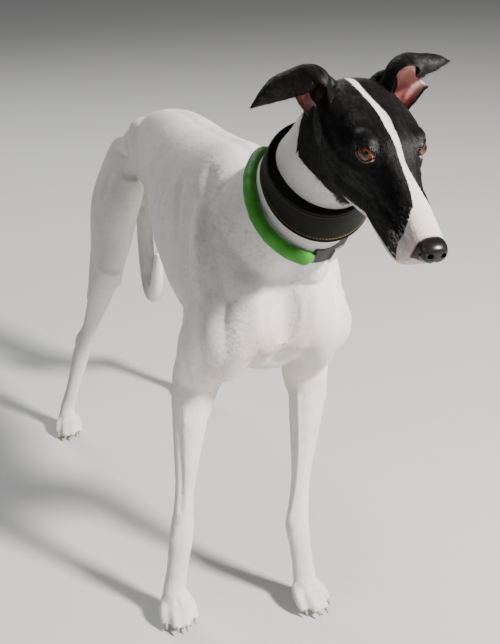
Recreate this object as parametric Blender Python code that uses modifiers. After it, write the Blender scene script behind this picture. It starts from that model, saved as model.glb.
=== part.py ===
"""A greyhound in life size, standing on four feet with its head lowered a little and its tail tucked.

Metres, +Z up. The dog faces -Y, its left side is +X, and the floor is at z = 0.
The flesh is modelled whole: swept forms for trunk, neck, head, legs, feet and tail are merged, smoothed and
shaped with strokes along the muscles, and then parted with thin cuts into head, neck, torso, tail and legs.
"""

import math

import bmesh
import bpy
import numpy as np
from mathutils import Matrix, Vector

GAP = 0.0003
SHIFT = Vector((0.0315, -0.1690, 0.0))

BODY_VOXEL = 0.0042
BODY_SMOOTHING = 6
BODY_TRIANGLES = 7700
HEAD_VOXEL = 0.0024
HEAD_SMOOTHING = 3
HEAD_TRIANGLES = 2600

FRONT, BACK, LEFT, UP = Vector((0, -1, 0)), Vector((0, 1, 0)), Vector((1, 0, 0)), Vector((0, 0, 1))

HEAD_ORIGIN = Vector((0.048, -0.192, 0.864))
HEAD_YAW = math.radians(0.6)
HEAD_PITCH = math.radians(22.9)
HEAD_ROLL = math.radians(-1.0)

# Trunk sections, back from the breastbone: y, top, bottom, half width, squareness.
TRUNK = (
    (-0.108, 0.580, 0.492, 0.022, 2.0),
    (-0.094, 0.612, 0.470, 0.050, 2.0),
    (-0.055, 0.660, 0.438, 0.074, 2.1),
    (0.000, 0.700, 0.416, 0.084, 2.1),
    (0.080, 0.722, 0.403, 0.091, 2.1),
    (0.180, 0.712, 0.405, 0.095, 2.1),
    (0.280, 0.704, 0.430, 0.089, 2.1),
    (0.370, 0.703, 0.474, 0.076, 2.1),
    (0.450, 0.695, 0.514, 0.066, 2.2),
    (0.530, 0.675, 0.530, 0.064, 2.2),
    (0.610, 0.645, 0.520, 0.061, 2.2),
    (0.665, 0.616, 0.528, 0.050, 2.1),
    (0.692, 0.592, 0.548, 0.028, 2.0),
)

# Neck stations: centre, half width, towards the nape, towards the throat, squareness.
NECK = (
    ((0.000, 0.050, 0.590), 0.077, 0.100, 0.114, 2.0),
    ((0.012, -0.032, 0.646), 0.0745, 0.085, 0.100, 2.0),
    ((0.021, -0.091, 0.700), 0.062, 0.070, 0.088, 2.0),
    ((0.035, -0.133, 0.752), 0.056, 0.056, 0.076, 2.0),
    ((0.045, -0.163, 0.804), 0.051, 0.043, 0.060, 2.0),
    ((0.048, -0.178, 0.832), 0.043, 0.031, 0.048, 2.0),
)

# Sections of skull and upper muzzle, forward from the back of the skull: forward, top, bottom, half width.
SKULL = (
    (-0.030, -0.034, -0.070, 0.022),
    (-0.018, -0.016, -0.082, 0.036),
    (0.004, -0.004, -0.088, 0.0465),
    (0.035, 0.000, -0.089, 0.0520),
    (0.070, 0.0015, -0.088, 0.0530),
    (0.095, 0.0005, -0.085, 0.0480),
    (0.115, -0.004, -0.082, 0.0375),
    (0.135, -0.0145, -0.081, 0.0295),
    (0.160, -0.0250, -0.081, 0.0245),
    (0.185, -0.0330, -0.081, 0.0220),
    (0.210, -0.0380, -0.080, 0.0205),
    (0.228, -0.0430, -0.0755, 0.0180),
    (0.238, -0.0490, -0.0700, 0.0120),
)

# Sections of the lower jaw and its chewing muscle.
JAW = (
    (0.008, -0.050, -0.099, 0.031),
    (0.040, -0.050, -0.1115, 0.038),
    (0.075, -0.050, -0.1165, 0.037),
    (0.105, -0.050, -0.1130, 0.031),
    (0.140, -0.055, -0.1040, 0.024),
    (0.175, -0.060, -0.0980, 0.0215),
    (0.198, -0.062, -0.0935, 0.0190),
    (0.216, -0.064, -0.0860, 0.0120),
)

# The upper lips, squarer than the muzzle above them.
LIPS = (
    (0.118, -0.055, -0.0900, 0.0285),
    (0.145, -0.050, -0.0950, 0.0280),
    (0.172, -0.049, -0.0980, 0.0270),
    (0.198, -0.051, -0.0970, 0.0265),
    (0.216, -0.053, -0.0910, 0.0250),
    (0.230, -0.055, -0.0785, 0.0190),
)

# The nose pad: forward, top, bottom, half width.
NOSE = (
    (0.222, -0.0440, -0.0620, 0.0125),
    (0.230, -0.0410, -0.0650, 0.0160),
    (0.238, -0.0415, -0.0665, 0.0165),
    (0.245, -0.0450, -0.0650, 0.0138),
    (0.248, -0.0500, -0.0610, 0.0082),
)

EYE_CENTRE = (0.1115, 0.0285, -0.0212)
EYE_GAZE = (0.55, 0.82, 0.18)
EYE_SLANT = (1.0, -0.60, 0.14)
EYE_RADIUS = 0.0115
LID_THICKNESS = 0.0017
EYE_OPENING = (0.0114, 0.0074)

# Half of the mouth's line on the dog's left, from the front to the corner: forward, left, up.
MOUTH_LINE = (
    (0.2370, 0.0000, -0.0735),
    (0.2320, 0.0120, -0.0765),
    (0.2180, 0.0225, -0.0845),
    (0.2000, 0.0260, -0.0890),
    (0.1780, 0.0268, -0.0900),
    (0.1560, 0.0282, -0.0890),
    (0.1380, 0.0330, -0.0890),
)

# Ear stations: the back of the ear, the way its cup faces, radius of its curl, half the angle it wraps round.
EARS = {
    "right": (
        ((-0.0006, -0.0345, -0.0315), (0.89, -0.46, 0.01), 0.0190, 135),
        ((-0.0067, -0.0451, -0.0133), (0.91, -0.40, -0.09), 0.0215, 125),
        ((-0.0109, -0.0548, 0.0049), (0.88, -0.24, -0.40), 0.0225, 115),
        ((-0.0111, -0.0677, 0.0091), (0.62, -0.14, -0.78), 0.0225, 105),
        ((-0.0073, -0.0829, 0.0023), (0.20, 0.03, -0.97), 0.0215, 92),
        ((-0.0036, -0.0971, -0.0085), (-0.15, 0.19, -0.95), 0.0185, 78),
        ((-0.0018, -0.1104, -0.0222), (-0.25, 0.24, -0.92), 0.0120, 65),
        ((-0.0010, -0.1221, -0.0361), (-0.15, 0.24, -0.92), 0.0030, 50),
    ),
    "left": (
        ((-0.0035, 0.0335, -0.0325), (0.97, 0.13, -0.00), 0.0225, 130),
        ((-0.0093, 0.0460, -0.0127), (0.98, -0.02, -0.10), 0.0255, 117),
        ((-0.0131, 0.0573, 0.0071), (0.95, -0.10, -0.25), 0.0273, 110),
        ((-0.0129, 0.0695, 0.0149), (0.78, -0.12, -0.62), 0.0262, 104),
        ((-0.0077, 0.0804, 0.0187), (0.40, -0.07, -0.90), 0.0231, 92),
        ((-0.0025, 0.0924, 0.0185), (0.05, -0.02, -0.98), 0.0173, 74),
        ((-0.0003, 0.1033, 0.0164), (-0.10, -0.06, -0.98), 0.0105, 62),
        ((-0.0002, 0.1122, 0.0122), (-0.10, -0.06, -0.98), 0.0030, 50),
    ),
}
EAR_THICKNESS = 0.0022

SHOULDER = {"right": (-0.074, -0.060, 0.522), "left": (0.076, -0.060, 0.520)}
ELBOW = {"right": (-0.091, 0.036, 0.394), "left": (0.088, 0.028, 0.392)}
WRIST = {"right": (-0.120, 0.016, 0.142), "left": (0.059, -0.010, 0.140)}
FORE_PAW = {"right": (-0.134, 0.002, 0.0), "left": (0.069, -0.030, 0.0)}
FORE_TOE_TURN = {"right": 4.0, "left": -16.0}

HIP = {"right": (-0.064, 0.582, 0.556), "left": (0.064, 0.596, 0.554)}
STIFLE = {"right": (-0.114, 0.500, 0.408), "left": (0.090, 0.528, 0.398)}
HOCK = {"right": (-0.160, 0.618, 0.186), "left": (0.088, 0.706, 0.186)}
HIND_PAW = {"right": (-0.194, 0.634, 0.0), "left": (0.088, 0.700, 0.0)}
HIND_TOE_TURN = {"right": 12.0, "left": -6.0}

# Tail stations: centre and radius. It hangs between the hind legs and hooks forward at its end.
TAIL = (
    ((0.000, 0.655, 0.598), 0.0260),
    ((0.000, 0.696, 0.568), 0.0225),
    ((0.000, 0.713, 0.500), 0.0190),
    ((0.000, 0.715, 0.420), 0.0168),
    ((0.000, 0.710, 0.350), 0.0162),
    ((-0.001, 0.690, 0.294), 0.0162),
    ((-0.002, 0.652, 0.275), 0.0158),
    ((-0.003, 0.622, 0.300), 0.0145),
    ((-0.003, 0.600, 0.344), 0.0120),
    ((-0.003, 0.585, 0.386), 0.0085),
)

# Collars: centre, way up the neck, half width, towards the nape, towards the throat. The lean says how far a
# strap stands further out for each metre down the neck: at the sides, at the nape, at the throat.
LEATHER_COLLAR = {
    "centre": (0.0296, -0.1258, 0.7359), "normal": (-0.12, -0.64, 0.76),
    "half": (0.0628, 0.0655, 0.0775), "lean": (0.09, 0.22, 0.20), "height": (0.031, 0.046),
    "thickness": 0.0040,
}
PADDED_COLLAR = {
    "centre": (0.0206, -0.1000, 0.6880), "normal": (0.14, -0.67, 0.73),
    "half": (0.0630, 0.0850, 0.0740), "lean": (0.10, 0.30, 0.12), "radius": 0.0078,
}
WEBBING_HEIGHT = 0.022
WEBBING_THICKNESS = 0.0035

SUNK = 0.012
PADDED_SPAN = (112, 264)
SLIDER_SPAN = (286, 297)
TAIL_SPLIT = 0.415
FLOOR_CUT = 0.0

FUR = (0.86, 0.84, 0.81, 1)
BLACK_FUR = (0.025, 0.023, 0.023, 1)
COLORS = {
    "head": (BLACK_FUR, 0.6), "ear_right": (BLACK_FUR, 0.6), "ear_left": (BLACK_FUR, 0.6),
    "eye_right": ((0.16, 0.06, 0.02, 1), 0.1), "eye_left": ((0.16, 0.06, 0.02, 1), 0.1),
    "collar_leather": ((0.035, 0.03, 0.018, 1), 0.5), "collar_padded": ((0.06, 0.36, 0.03, 1), 0.8),
    "collar_webbing": ((0.012, 0.012, 0.013, 1), 0.7), "collar_slider": ((0.6, 0.6, 0.6, 1), 0.3),
}


def vec(point):
    return Vector(point)


def between(first, second, share):
    return Vector(first).lerp(Vector(second), share)


def head_axes():
    """Forward, left and up of the head, from its yaw, pitch and roll."""
    forward = Vector((math.sin(HEAD_YAW), -math.cos(HEAD_YAW), 0))
    left = Vector((math.cos(HEAD_YAW), math.sin(HEAD_YAW), 0))
    ahead = forward * math.cos(HEAD_PITCH) - UP * math.sin(HEAD_PITCH)
    crown = UP * math.cos(HEAD_PITCH) + forward * math.sin(HEAD_PITCH)
    side = left * math.cos(HEAD_ROLL) + crown * math.sin(HEAD_ROLL)
    return ahead, side, crown * math.cos(HEAD_ROLL) - left * math.sin(HEAD_ROLL)


def head_way(forward, left, up):
    ahead, side, crown = head_axes()
    return ahead * forward + side * left + crown * up


def on_head(forward, left, up):
    """A point given by its distances from the back of the skull, along the head's own axes."""
    return HEAD_ORIGIN + head_way(forward, left, up)


def curve_through(values, steps):
    """A Catmull-Rom curve through rows of values, with steps points for each span."""
    rows = np.asarray(values, float)
    rows = np.vstack([2 * rows[0] - rows[1], rows, 2 * rows[-1] - rows[-2]])
    found = []
    for i in range(1, len(rows) - 2):
        a, b, c, d = rows[i - 1], rows[i], rows[i + 1], rows[i + 2]
        for t in np.arange(steps) / steps:
            found.append(0.5 * (2 * b + (c - a) * t + (2 * a - 5 * b + 4 * c - d) * t**2
                                + (3 * b - a - 3 * c + d) * t**3))
    found.append(rows[-2])
    return np.array(found)


class Shells:
    """Closed swept forms gathered in one mesh."""

    def __init__(self):
        self.points, self.faces = [], []

    def sweep(self, rings, fan=True):
        """Joins rings of points into a closed form. Each end is a fan round its middle, or a strip of quads."""
        count, around = len(rings), len(rings[0])
        start = len(self.points)
        for ring in rings:
            self.points.extend(ring)
        for i in range(count - 1):
            for j in range(around):
                k = (j + 1) % around
                a, b = start + i * around, start + (i + 1) * around
                self.faces.append((a + j, a + k, b + k, b + j))
        ends = ((rings[0], start, -1), (rings[-1], start + (count - 1) * around, 1))
        for ring, first, turn in ends:
            if not fan:
                for j in range(around // 2 - 1):
                    k = around - 1 - j
                    self.faces.append((first + j, first + j + 1, first + k - 1, first + k)[::turn])
                continue
            middle = len(self.points)
            self.points.append(np.mean(ring, axis=0))
            for j in range(around):
                pair = (first + j, first + (j + 1) % around)[::turn]
                self.faces.append((*pair, middle))

    def limb(self, stations, towards, steps=4, around=20, plane=None):
        """Sweeps ovals along stations of centre, side, front and back half sizes and squareness.

        towards is the front's direction, and plane a fixed normal for the ovals where they don't turn.
        """
        rows = curve_through([[*s[0], *s[1:]] for s in stations], steps)
        centres = rows[:, :3]
        tangents = np.gradient(centres, axis=0)
        angles = np.linspace(0, 2 * math.pi, around, endpoint=False)
        rings = []
        for centre, tangent, (side, front, back, power) in zip(centres, tangents, rows[:, 3:]):
            along = Vector(plane or tangent).normalized()
            ahead = Vector(towards)
            ahead = (ahead - along * ahead.dot(along)).normalized()
            across = ahead.cross(along)
            u = np.sign(np.cos(angles)) * np.abs(np.cos(angles)) ** (2 / power) * side
            v = np.sign(np.sin(angles)) * np.abs(np.sin(angles)) ** (2 / power)
            v = np.where(v > 0, v * front, v * back)
            rings.append(centre + np.outer(u, across) + np.outer(v, ahead))
        self.sweep(rings)

    def ball(self, centre, sizes, axis=(0, 0, 1), towards=(0, -1, 0), around=14):
        """An egg shape whose half sizes are side, front and along the axis."""
        side, front, along = sizes
        axis = Vector(axis).normalized()
        stations = []
        for angle in np.linspace(-0.47, 0.47, 9) * math.pi:
            ring = math.cos(angle)
            stations.append((Vector(centre) + axis * along * math.sin(angle), side * ring, front * ring,
                             front * ring, 2.0))
        self.limb(stations, towards, steps=1, around=around)

    def object(self, name):
        data = bpy.data.meshes.new(name)
        data.from_pydata([tuple(p) for p in self.points], [], self.faces)
        data.update()
        return link(bpy.data.objects.new(name, data))


def link(obj, collection=None):
    (collection or bpy.context.scene.collection).objects.link(obj)
    return obj


def bake(obj):
    """Gives obj the mesh that its modifiers make, and takes the modifiers off."""
    bpy.context.view_layer.update()
    graph = bpy.context.evaluated_depsgraph_get()
    data = bpy.data.meshes.new_from_object(obj.evaluated_get(graph))
    obj.modifiers.clear()
    obj.data = data
    return obj


def keep_largest(obj):
    """Keeps the closed surface that spans most, and drops loose scraps."""
    work = bmesh.new()
    work.from_mesh(obj.data)
    unseen = set(work.faces)
    groups = []
    while unseen:
        seed = unseen.pop()
        group, edge_of = {seed}, [seed]
        while edge_of:
            face = edge_of.pop()
            for edge in face.edges:
                for near in edge.link_faces:
                    if near in unseen:
                        unseen.discard(near)
                        group.add(near)
                        edge_of.append(near)
        groups.append(group)
    groups.sort(key=lambda g: -sum(f.calc_area() for f in g))
    for group in groups[1:]:
        bmesh.ops.delete(work, geom=list(group), context="FACES")
    work.to_mesh(obj.data)
    work.free()
    return obj


def boolean(obj, other, operation, solver="MANIFOLD"):
    step = obj.modifiers.new(operation.lower(), "BOOLEAN")
    step.operation = operation
    step.solver = solver
    if isinstance(other, bpy.types.Collection):
        step.operand_type = "COLLECTION"
        step.collection = other
    else:
        step.object = other
    return bake(obj)


def duplicate(obj, name, grow=0.0):
    """A copy of obj, grown outwards by a small distance where asked."""
    copy = link(bpy.data.objects.new(name, obj.data.copy()))
    if grow:
        step = copy.modifiers.new("grow", "DISPLACE")
        step.strength = grow
        step.mid_level = 0.0
        bake(copy)
    return copy


def drop(*objects):
    for obj in objects:
        bpy.data.objects.remove(obj, do_unlink=True)


def frame_of(normal, near=(1, 0, 0)):
    """Three axes at right angles, the last one along normal."""
    last = Vector(normal).normalized()
    first = (Vector(near) - last * last.dot(Vector(near))).normalized()
    return first, last.cross(first), last


def points_of(obj):
    count = len(obj.data.vertices)
    found = np.empty(count * 3)
    obj.data.vertices.foreach_get("co", found)
    return found.reshape(-1, 3)


def stroke(places, normals, path, radius, depth):
    """Moves points near a path along their normals: out for a positive depth, in for a negative one."""
    path = [np.array(p, float) for p in path]
    nearest = np.full(len(places), 1e9)
    for start, end in zip(path, path[1:]):
        span = end - start
        share = np.clip((places - start) @ span / (span @ span), 0, 1)
        gap = np.linalg.norm(places - (start + share[:, None] * span), axis=1)
        nearest = np.minimum(nearest, gap)
    fall = np.exp(-((nearest / radius) ** 2))
    return normals * (depth * fall)[:, None]


def reshape(obj, strokes):
    """Applies strokes to obj: path, radius and depth of each."""
    places = points_of(obj)
    normals = np.empty(len(places) * 3)
    obj.data.vertices.foreach_get("normal", normals)
    normals = normals.reshape(-1, 3)
    moved = places.copy()
    for path, radius, depth in strokes:
        moved += stroke(places, normals, path, radius, depth)
    obj.data.vertices.foreach_set("co", moved.ravel())
    obj.data.update()


def merged(shells, name, voxel, smoothing, triangles, strokes=()):
    """One closed skin over overlapping shells, smoothed, shaped and thinned to a number of triangles."""
    obj = shells.object(name)
    remesh = obj.modifiers.new("merge", "REMESH")
    remesh.mode = "VOXEL"
    remesh.voxel_size = voxel
    soften = obj.modifiers.new("soften", "SMOOTH")
    soften.factor = 0.5
    soften.iterations = smoothing
    bake(obj)
    reshape(obj, strokes)
    obj.data.calc_loop_triangles()
    thin = obj.modifiers.new("thin", "DECIMATE")
    thin.ratio = triangles / len(obj.data.loop_triangles)
    bake(obj)
    return keep_largest(obj)


def trunk_and_neck(shells):
    rows = []
    for y, top, bottom, half, power in TRUNK:
        middle = bottom + 0.56 * (top - bottom)
        rows.append(((0, y, middle), half, top - middle, middle - bottom, power))
    shells.limb(rows, UP, steps=4, around=32, plane=(0, 1, 0))
    shells.limb(NECK, (0, 0.6, 0.8), steps=4, around=24)
    # The points of the haunch and of the rump.
    for sign in (-1, 1):
        shells.ball((0.040 * sign, 0.508, 0.640), (0.028, 0.046, 0.030))
        shells.ball((0.042 * sign, 0.658, 0.566), (0.024, 0.028, 0.030))


def head_rows(table, power):
    rows = []
    for forward, top, bottom, half in table:
        middle = 0.5 * (top + bottom)
        rows.append((on_head(forward, 0, middle), half, top - middle, middle - bottom, power))
    return rows


def skull(shells, fine=True):
    ahead, side, crown = head_axes()
    shells.limb(head_rows(SKULL, 2.45), crown, steps=4, around=32, plane=ahead)
    shells.limb(head_rows(JAW, 2.1), crown, steps=4, around=24, plane=ahead)
    shells.limb(head_rows(LIPS, 3.6), crown, steps=4, around=24, plane=ahead)
    if not fine:
        return
    shells.limb(head_rows(NOSE, 2.4), crown, steps=3, around=24, plane=ahead)
    for sign in (-1, 1):
        # Brow, cheekbone, and the chewing muscle behind it.
        shells.ball(on_head(0.100, 0.0275 * sign, -0.0155), (0.0155, 0.0200, 0.0122), crown, ahead)
        shells.limb((
            (on_head(0.1180, 0.0300 * sign, -0.0430), 0.0070, 0.0070, 0.0070, 2.0),
            (on_head(0.0950, 0.0400 * sign, -0.0440), 0.0095, 0.0085, 0.0085, 2.0),
            (on_head(0.0620, 0.0450 * sign, -0.0400), 0.0110, 0.0090, 0.0090, 2.0),
            (on_head(0.0300, 0.0430 * sign, -0.0330), 0.0110, 0.0090, 0.0090, 2.0),
        ), crown, around=12)
        shells.ball(on_head(0.050, 0.0250 * sign, -0.0740), (0.0180, 0.0300, 0.0260), crown, ahead)


def toes(shells, paw, turn, size):
    """Four toes side by side, the middle pair longer, with the pad behind them. turn is in degrees."""
    angle = math.radians(turn)
    ahead = Vector((-math.sin(angle), -math.cos(angle), 0))
    across = Vector((-ahead.y, ahead.x, 0))
    paw = Vector(paw)
    for place, reach in ((-1.5, 0.026), (-0.5, 0.040), (0.5, 0.040), (1.5, 0.026)):
        side = across * place * 0.0138 * size
        root = paw + side * 0.70 + ahead * -0.010 * size + UP * 0.036 * size
        knuckle = paw + side * 1.02 + ahead * (reach - 0.017) * size + UP * 0.0255 * size
        tip = paw + side * 1.08 + ahead * reach * size + UP * 0.0105 * size
        thick = 0.0088 * size
        shells.limb((
            (root, thick, thick, thick, 2.0),
            (between(root, knuckle, 0.6), thick * 1.05, thick, thick * 1.1, 2.0),
            (knuckle, thick * 1.08, thick, thick * 1.3, 2.0),
            (between(knuckle, tip, 0.7), thick * 1.0, thick * 0.9, thick * 0.9, 2.0),
            (tip, thick * 0.7, thick * 0.6, thick * 0.6, 2.0),
        ), ahead + UP, steps=2, around=12)
    shells.ball(paw - ahead * 0.004 + UP * 0.010 * size, (0.019 * size, 0.020 * size, 0.011 * size),
                towards=ahead)


def claws(shells, paw, turn, size):
    """A short curved claw at each toe's tip."""
    angle = math.radians(turn)
    ahead = Vector((-math.sin(angle), -math.cos(angle), 0))
    across = Vector((-ahead.y, ahead.x, 0))
    paw = Vector(paw)
    for place, reach in ((-1.5, 0.026), (-0.5, 0.040), (0.5, 0.040), (1.5, 0.026)):
        root = paw + across * place * 0.0149 * size + ahead * (reach - 0.001) * size + UP * 0.0125 * size
        shells.limb((
            (root, 0.0030, 0.0030, 0.0030, 2.0),
            (root + ahead * 0.0070 - UP * 0.0015, 0.0024, 0.0024, 0.0024, 2.0),
            (root + ahead * 0.0120 - UP * 0.0070, 0.0010, 0.0010, 0.0010, 2.0),
        ), UP, steps=1, around=6)


def foreleg(shells, side):
    sign = -1 if side == "right" else 1
    out = LEFT * sign
    shoulder, elbow, wrist, paw = (vec(t[side]) for t in (SHOULDER, ELBOW, WRIST, FORE_PAW))
    blade_top = Vector((0.030 * sign, 0.085, 0.690))
    blade = between(blade_top, shoulder, 0.5)
    # The shoulder blade's muscles, from the withers to the point of the shoulder.
    shells.limb((
        (blade_top, 0.022, 0.030, 0.034, 2.0),
        (blade + out * 0.016, 0.028, 0.044, 0.052, 2.0),
        (shoulder + BACK * 0.024 + UP * 0.016, 0.030, 0.040, 0.046, 2.0),
        (shoulder + FRONT * 0.002 - UP * 0.022, 0.024, 0.028, 0.030, 2.0),
    ), (0, -1, 0.3))
    # The breast muscle, from the breastbone to the inside of the elbow.
    shells.limb((
        (Vector((0.030 * sign, -0.068, 0.560)), 0.030, 0.036, 0.036, 2.0),
        (Vector((0.052 * sign, -0.062, 0.500)), 0.036, 0.036, 0.036, 2.0),
        (between((0.052 * sign, -0.062, 0.500), elbow, 0.55), 0.036, 0.034, 0.034, 2.0),
        (elbow - out * 0.014 - UP * 0.006, 0.029, 0.026, 0.026, 2.0),
        (elbow - out * 0.006 - UP * 0.060, 0.020, 0.019, 0.019, 2.0),
    ), FRONT)
    # The flesh over the point of the shoulder, between the blade's muscles and the breast's.
    shells.ball(shoulder + out * 0.008 + FRONT * 0.004 - UP * 0.018, (0.027, 0.024, 0.040))
    # The upper arm: the muscle behind it is thick above the elbow.
    shells.limb((
        (shoulder + BACK * 0.020 + UP * 0.020, 0.032, 0.038, 0.052, 2.0),
        (between(shoulder, elbow, 0.35) + BACK * 0.012 + out * 0.006, 0.033, 0.038, 0.052, 2.0),
        (between(shoulder, elbow, 0.72) + BACK * 0.010 - out * 0.001, 0.033, 0.034, 0.042, 2.0),
        (elbow + UP * 0.004 - out * 0.001, 0.031, 0.028, 0.030, 2.0),
        (elbow - UP * 0.030, 0.028, 0.024, 0.024, 2.0),
    ), (0, -1, 0.2))
    shells.ball(elbow + BACK * 0.028 + UP * 0.012 + out * 0.006, (0.010, 0.012, 0.018))
    # The forearm, wrist and the bones above the toes.
    heel = paw + BACK * 0.010 + UP * 0.046
    shells.limb((
        (elbow + UP * 0.010, 0.0295, 0.0270, 0.0280, 2.0),
        (between(elbow, wrist, 0.12), 0.0295, 0.0270, 0.0280, 2.0),
        (between(elbow, wrist, 0.28), 0.0262, 0.0245, 0.0260, 2.1),
        (between(elbow, wrist, 0.48), 0.0205, 0.0190, 0.0205, 2.1),
        (between(elbow, wrist, 0.70), 0.0155, 0.0145, 0.0155, 2.1),
        (between(elbow, wrist, 0.90), 0.0170, 0.0140, 0.0150, 2.2),
        (wrist, 0.0195, 0.0160, 0.0160, 2.3),
        (between(wrist, heel, 0.35), 0.0180, 0.0145, 0.0140, 2.3),
        (between(wrist, heel, 0.70), 0.0175, 0.0135, 0.0135, 2.3),
        (heel, 0.0195, 0.0150, 0.0140, 2.2),
        (paw + UP * 0.032 + FRONT * 0.002, 0.0200, 0.0170, 0.0150, 2.0),
    ), FRONT)
    shells.ball(wrist + BACK * 0.016 - UP * 0.010, (0.008, 0.010, 0.012))
    toes(shells, paw, FORE_TOE_TURN[side], 1.0)


def hind_leg(shells, side):
    sign = -1 if side == "right" else 1
    out = LEFT * sign
    hip, stifle, hock, paw = (vec(t[side]) for t in (HIP, STIFLE, HOCK, HIND_PAW))
    # The thigh: wide from front to back, flat from side to side.
    shells.limb((
        (hip + UP * 0.052 + FRONT * 0.012, 0.020, 0.044, 0.034, 2.0),
        (hip + out * 0.004, 0.037, 0.074, 0.060, 2.0),
        (between(hip, stifle, 0.40) + BACK * 0.014 + out * 0.004, 0.041, 0.072, 0.070, 2.0),
        (between(hip, stifle, 0.78) + BACK * 0.018, 0.035, 0.052, 0.062, 2.0),
        (stifle + BACK * 0.014 - UP * 0.006, 0.028, 0.034, 0.044, 2.0),
        (stifle + BACK * 0.018 - UP * 0.045, 0.022, 0.024, 0.034, 2.0),
    ), (0, -1, -0.25))
    # The ham behind the thigh.
    seat = Vector((hip.x * 0.76, 0.652, 0.550))
    shells.limb((
        (seat + UP * 0.020, 0.026, 0.034, 0.024, 2.0),
        (between(seat, stifle, 0.30) + BACK * 0.014 + out * 0.004, 0.034, 0.050, 0.034, 2.0),
        (between(seat, stifle, 0.62) + BACK * 0.034 + out * 0.004, 0.033, 0.050, 0.034, 2.0),
        (between(stifle, hock, 0.20) + BACK * 0.026, 0.025, 0.032, 0.030, 2.0),
        (between(stifle, hock, 0.45) + BACK * 0.022, 0.017, 0.022, 0.020, 2.0),
    ), (0, -1, -0.4))
    # The second thigh with the calf, the hock, and the long bones above the toes.
    heel = paw + BACK * 0.012 + UP * 0.044
    shells.limb((
        (stifle + FRONT * 0.002, 0.0260, 0.0280, 0.0380, 2.0),
        (between(stifle, hock, 0.18), 0.0250, 0.0250, 0.0340, 2.0),
        (between(stifle, hock, 0.42), 0.0215, 0.0200, 0.0280, 2.0),
        (between(stifle, hock, 0.68), 0.0155, 0.0150, 0.0190, 2.0),
        (between(stifle, hock, 0.88), 0.0140, 0.0145, 0.0170, 2.1),
        (hock, 0.0165, 0.0170, 0.0180, 2.3),
        (between(hock, heel, 0.25), 0.0155, 0.0150, 0.0150, 2.3),
        (between(hock, heel, 0.60), 0.0135, 0.0125, 0.0125, 2.3),
        (heel, 0.0160, 0.0140, 0.0130, 2.2),
        (paw + UP * 0.028 + FRONT * 0.004, 0.0180, 0.0160, 0.0140, 2.0),
    ), FRONT)
    # The cord above the heel bone, and the bone itself.
    heel_bone = hock + BACK * 0.026 + UP * 0.010
    shells.limb((
        (between(stifle, hock, 0.45) + BACK * 0.030, 0.0090, 0.0100, 0.0090, 2.0),
        (between(stifle, hock, 0.75) + BACK * 0.030, 0.0065, 0.0070, 0.0065, 2.0),
        (heel_bone, 0.0095, 0.0110, 0.0085, 2.0),
        (hock - UP * 0.030 + BACK * 0.010, 0.0080, 0.0090, 0.0080, 2.0),
    ), FRONT, around=12)
    toes(shells, paw, HIND_TOE_TURN[side], 0.92)


def tail(shells):
    shells.limb([(c, r, r, r, 2.0) for c, r in TAIL], (1, 0, 0), steps=4, around=14)


def body_shells():
    shells = Shells()
    trunk_and_neck(shells)
    skull(shells, fine=False)
    for side in ("right", "left"):
        foreleg(shells, side)
        hind_leg(shells, side)
        for paw, turn, size in ((FORE_PAW, FORE_TOE_TURN, 1.0), (HIND_PAW, HIND_TOE_TURN, 0.92)):
            claws(shells, paw[side], turn[side], size)
    tail(shells)
    return shells


def head_shells():
    shells = Shells()
    skull(shells)
    shells.limb(NECK[2:], (0, 0.6, 0.8), steps=4, around=24)
    return shells


def body_strokes():
    """Grooves and ridges of the muscles: path, radius and depth."""
    found = [
        # The back's furrow over the spine, and the hollow of the breast between its two muscles.
        ([(0, 0.05, 0.725), (0, 0.30, 0.708), (0, 0.46, 0.694)], 0.010, -0.0030),
        ([(0, -0.12, 0.60), (0, -0.11, 0.55), (0, -0.10, 0.50), (0, -0.085, 0.47)], 0.020, -0.0150),
    ]
    for sign in (-1, 1):
        found += [([(x * sign, y, z) for x, y, z in path], radius, depth) for path, radius, depth in (
            # The shoulder blade's ridge with a muscle on either side of it.
            ([(0.062, 0.045, 0.680), (0.078, -0.008, 0.634), (0.090, -0.044, 0.592)], 0.007, -0.0045),
            ([(0.078, 0.024, 0.655), (0.090, -0.016, 0.618), (0.100, -0.048, 0.575)], 0.009, 0.0032),
            ([(0.055, 0.010, 0.662), (0.070, -0.036, 0.618), (0.078, -0.062, 0.575)], 0.011, 0.0034),
            ([(0.080, 0.125, 0.660), (0.115, 0.085, 0.560), (0.120, 0.075, 0.460)], 0.012, -0.0050),
            # The furrows behind the upper arm and down the front of it.
            ([(0.112, -0.034, 0.525), (0.117, -0.018, 0.490), (0.114, -0.004, 0.450)], 0.007, -0.0045),
            ([(0.101, -0.060, 0.500), (0.096, -0.044, 0.450), (0.098, -0.016, 0.400)], 0.006, -0.0030),
            # The breast muscle's inner edge, and the neck's furrow down to the breastbone.
            ([(0.040, -0.110, 0.585), (0.036, -0.104, 0.530), (0.030, -0.092, 0.490)], 0.013, 0.0045),
            ([(0.060, -0.110, 0.660), (0.052, -0.120, 0.600)], 0.014, -0.0040),
            # The flank before the thigh, and the furrow between thigh and ham.
            ([(0.070, 0.490, 0.640), (0.085, 0.455, 0.560), (0.075, 0.440, 0.490)], 0.016, -0.0050),
            ([(0.100, 0.620, 0.560), (0.125, 0.600, 0.460), (0.120, 0.560, 0.390)], 0.010, -0.0030),
        )]
    return found


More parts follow.
